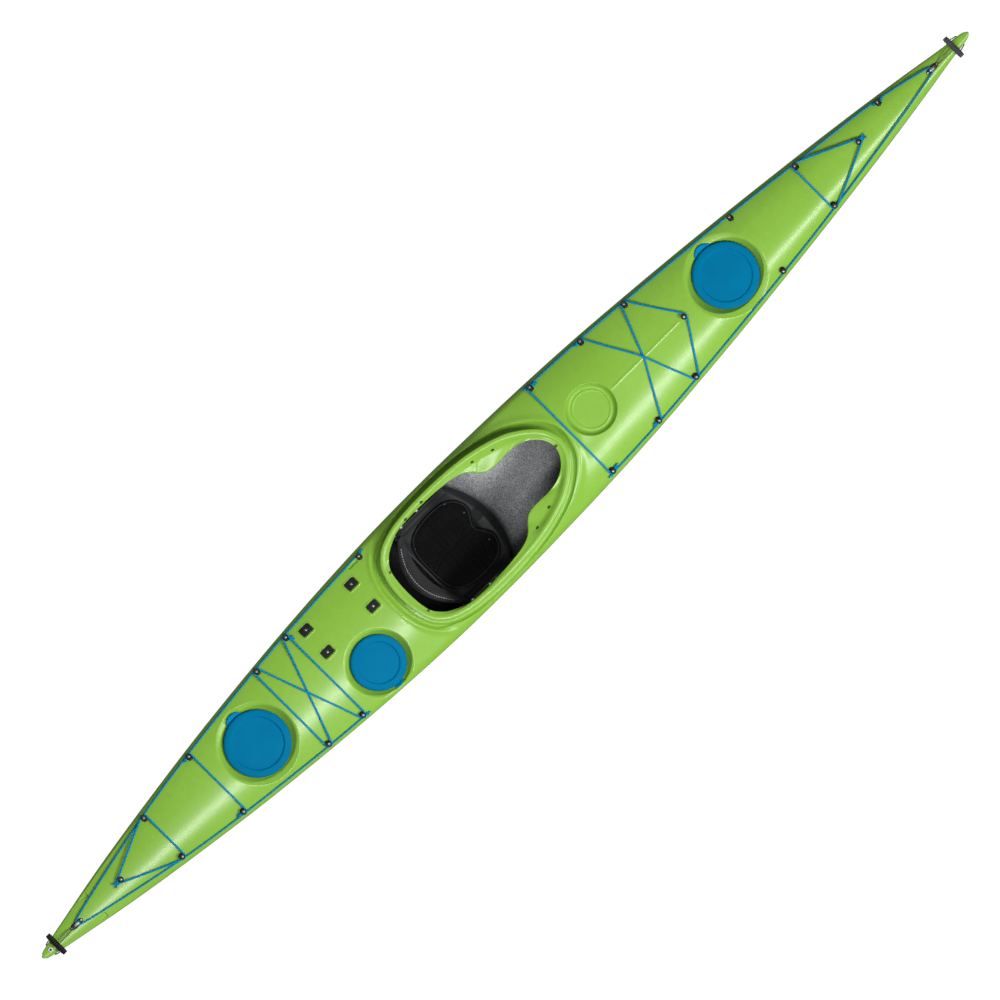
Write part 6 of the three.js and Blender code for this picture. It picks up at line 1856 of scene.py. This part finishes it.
# piping along the top's rear edge, a stitched seam on its front, and the two arms
yy = np.linspace(-172, 172, 160)
f = np.abs(yy) / 182
top = 238 - 52 * f ** 2.5
line = np.column_stack([back_x(top, f) - (22 - 6 * f) * 0.96, yy, top - 3.4])
v, fc, u = tube(line, 2.3, 9)
ob = make("backrest_piping", v, fc, (PIPING,), uv=u)
finish_piece(ob, "upholstery_black", body="backrest")
yy = np.linspace(-150, 150, 700)
f = np.abs(yy) / 182
seam = drape(band, np.column_stack([back_x(238 - 52 * f ** 2.5, f) - 2.0, yy]), 2.6)
arc = np.concatenate([[0], np.cumsum(np.linalg.norm(np.diff(seam, axis=0), axis=1))])
parts = []
for k in range(int(arc[-1] // 10.5)):
    q = [[np.interp(10.5 * k + a, arc, seam[:, i]) for i in range(3)] for a in (0, 1.7, 3.4, 5.1)]
    parts.append(tube(q, 1.7, 6))
V, F, U = join_uv(*parts)
ob = make("backrest_stitches", V, F, (THREAD,), uv=U)
finish_piece(ob, "upholstery_black", body="backrest")
for s in (1, -1):
    v, fc = rounded_box(22.5, 12.5, -3.8, 3.8, 8, 1.4)
    v = np.stack([v[:, 0], v[:, 2], v[:, 1]], 1) + [-418, s * 184, 122]
    ob = make("backrest_arm_" + ("port" if s > 0 else "starboard"), v, [q[::-1] for q in fc], (BLACK,))
    finish_piece(crease(ob, 40), "black_plastic", body="backrest")
# bolts that hold the seat's side plates to the rim
for i, (u, v) in enumerate([(558, 51.6), (580.6, 52), (557.7, -50.6), (581.1, -51.2)]):
    x, y = px(u, v)
    k = int(np.abs(RIM[:, 25:30, 0].mean(1) - x + 1e4 * (np.sign(RIM[:, 25, 1]) != np.sign(y))).argmin())
    e = RIM[k, 27]
    q = np.array([x, e[1] - np.sign(y) * 0.6, e[2] - 3.0])
    mv, mf = domed_bolt(6.6, 5.0)
    ob = make("seat_bolt_%d" % i, placed(mv, q, (0, -np.sign(y) * 0.72, 0.69)), mf, (BOLT,))
    finish_piece(crease(ob, 50), "steel")


# ------------------------------------------------------------------ carried-over nodes
def assign(node, mat):
    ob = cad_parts[node]
    if not ob.material_slots:
        ob.data.materials.append(mat)
    for sl in ob.material_slots:
        sl.material = mat


for node in ("aft_bulkhead", "cockpit_bulkhead", "fore_bulkhead"):
    assign(node, FOAM)
for s in ("port", "starboard"):
    assign("foot_rail_" + s, ALLOY)
    assign("foot_pedal_" + s, BLACK)
    assign("backrest_pivot_" + s, STEEL)

# ------------------------------------------------------------------ floor, light, camera
FLOOR_Z = -0.002


def plane(name, x0, x1, y0, y1, z, mat):
    me = bpy.data.meshes.new(name)
    me.from_pydata([(x0, y0, z), (x1, y0, z), (x1, y1, z), (x0, y1, z)], [], [(0, 1, 2, 3)])
    me.materials.append(mat)
    ob = bpy.data.objects.new(name, me)
    bpy.context.scene.collection.objects.link(ob)
    return ob


fm = bpy.data.materials.new("floor_white")
fm.use_nodes = True
fb = next(n for n in fm.node_tree.nodes if n.type == "BSDF_PRINCIPLED")
fb.inputs["Base Color"].default_value = (0.1, 0.1, 0.1, 1)
fb.inputs["Roughness"].default_value = 0.9
fb.inputs["Specular IOR Level"].default_value = 0.1
fb.inputs["Emission Color"].default_value = (1, 1, 1, 1)
fb.inputs["Emission Strength"].default_value = 1.0
floor = plane("floor", -40, 40, -40, 40, FLOOR_Z, fm)
floor.visible_diffuse = False
floor.visible_glossy = False

world = bpy.data.worlds.new("studio")
bpy.context.scene.world = world
world.use_nodes = True
bg = next(n for n in world.node_tree.nodes if n.type == "BACKGROUND")
bg.inputs["Color"].default_value = (0.97, 0.98, 1.0, 1)
bg.inputs["Strength"].default_value = 0.18


def area(name, loc, target, sx, sy, power, color=(1, 1, 1)):
    li = bpy.data.lights.new(name, "AREA")
    li.shape = "RECTANGLE"
    li.size, li.size_y = sx, sy
    li.energy = power
    li.color = color
    ob = bpy.data.objects.new(name, li)
    bpy.context.scene.collection.objects.link(ob)
    ob.location = loc
    d = Vector(target) - Vector(loc)
    z = -d.normalized()
    x = Vector((1, 0, 0)) - z * z[0]
    x.normalize()
    y = z.cross(x)
    ob.rotation_euler = Matrix((x, y, z)).transposed().to_euler()
    ob.visible_camera = False
    return ob


area("strip_aft", (-1.25, -0.80, 4.5), (-1.25, 0, 0.3), 2.6, 0.42, 66)
area("strip_fore", (1.25, -2.50, 4.4), (1.25, 0, 0.35), 3.0, 0.46, 88)
key = area("key", (4.0, -9.2, 14.1), (0, 0, 0.3), 8.0, 6.0, 1690)
key.visible_glossy = False

cam_data = bpy.data.cameras.new("camera")
cam = bpy.data.objects.new("camera", cam_data)
bpy.context.scene.collection.objects.link(cam)
cam_data.lens = 900
cam_data.sensor_width = 36
cam_data.clip_end = 300
WIDTH = 3.974
dist = WIDTH / 0.04
cam.location = (-0.0274, 0.0014, 0.335 + dist)
cam.rotation_euler = (0, 0, -math.pi / 4)
bpy.context.scene.camera = cam
vs = bpy.context.scene.view_settings
vs.view_transform = "Standard"
vs.look = "None"
vs.exposure = 0.0
vs.gamma = 1.0
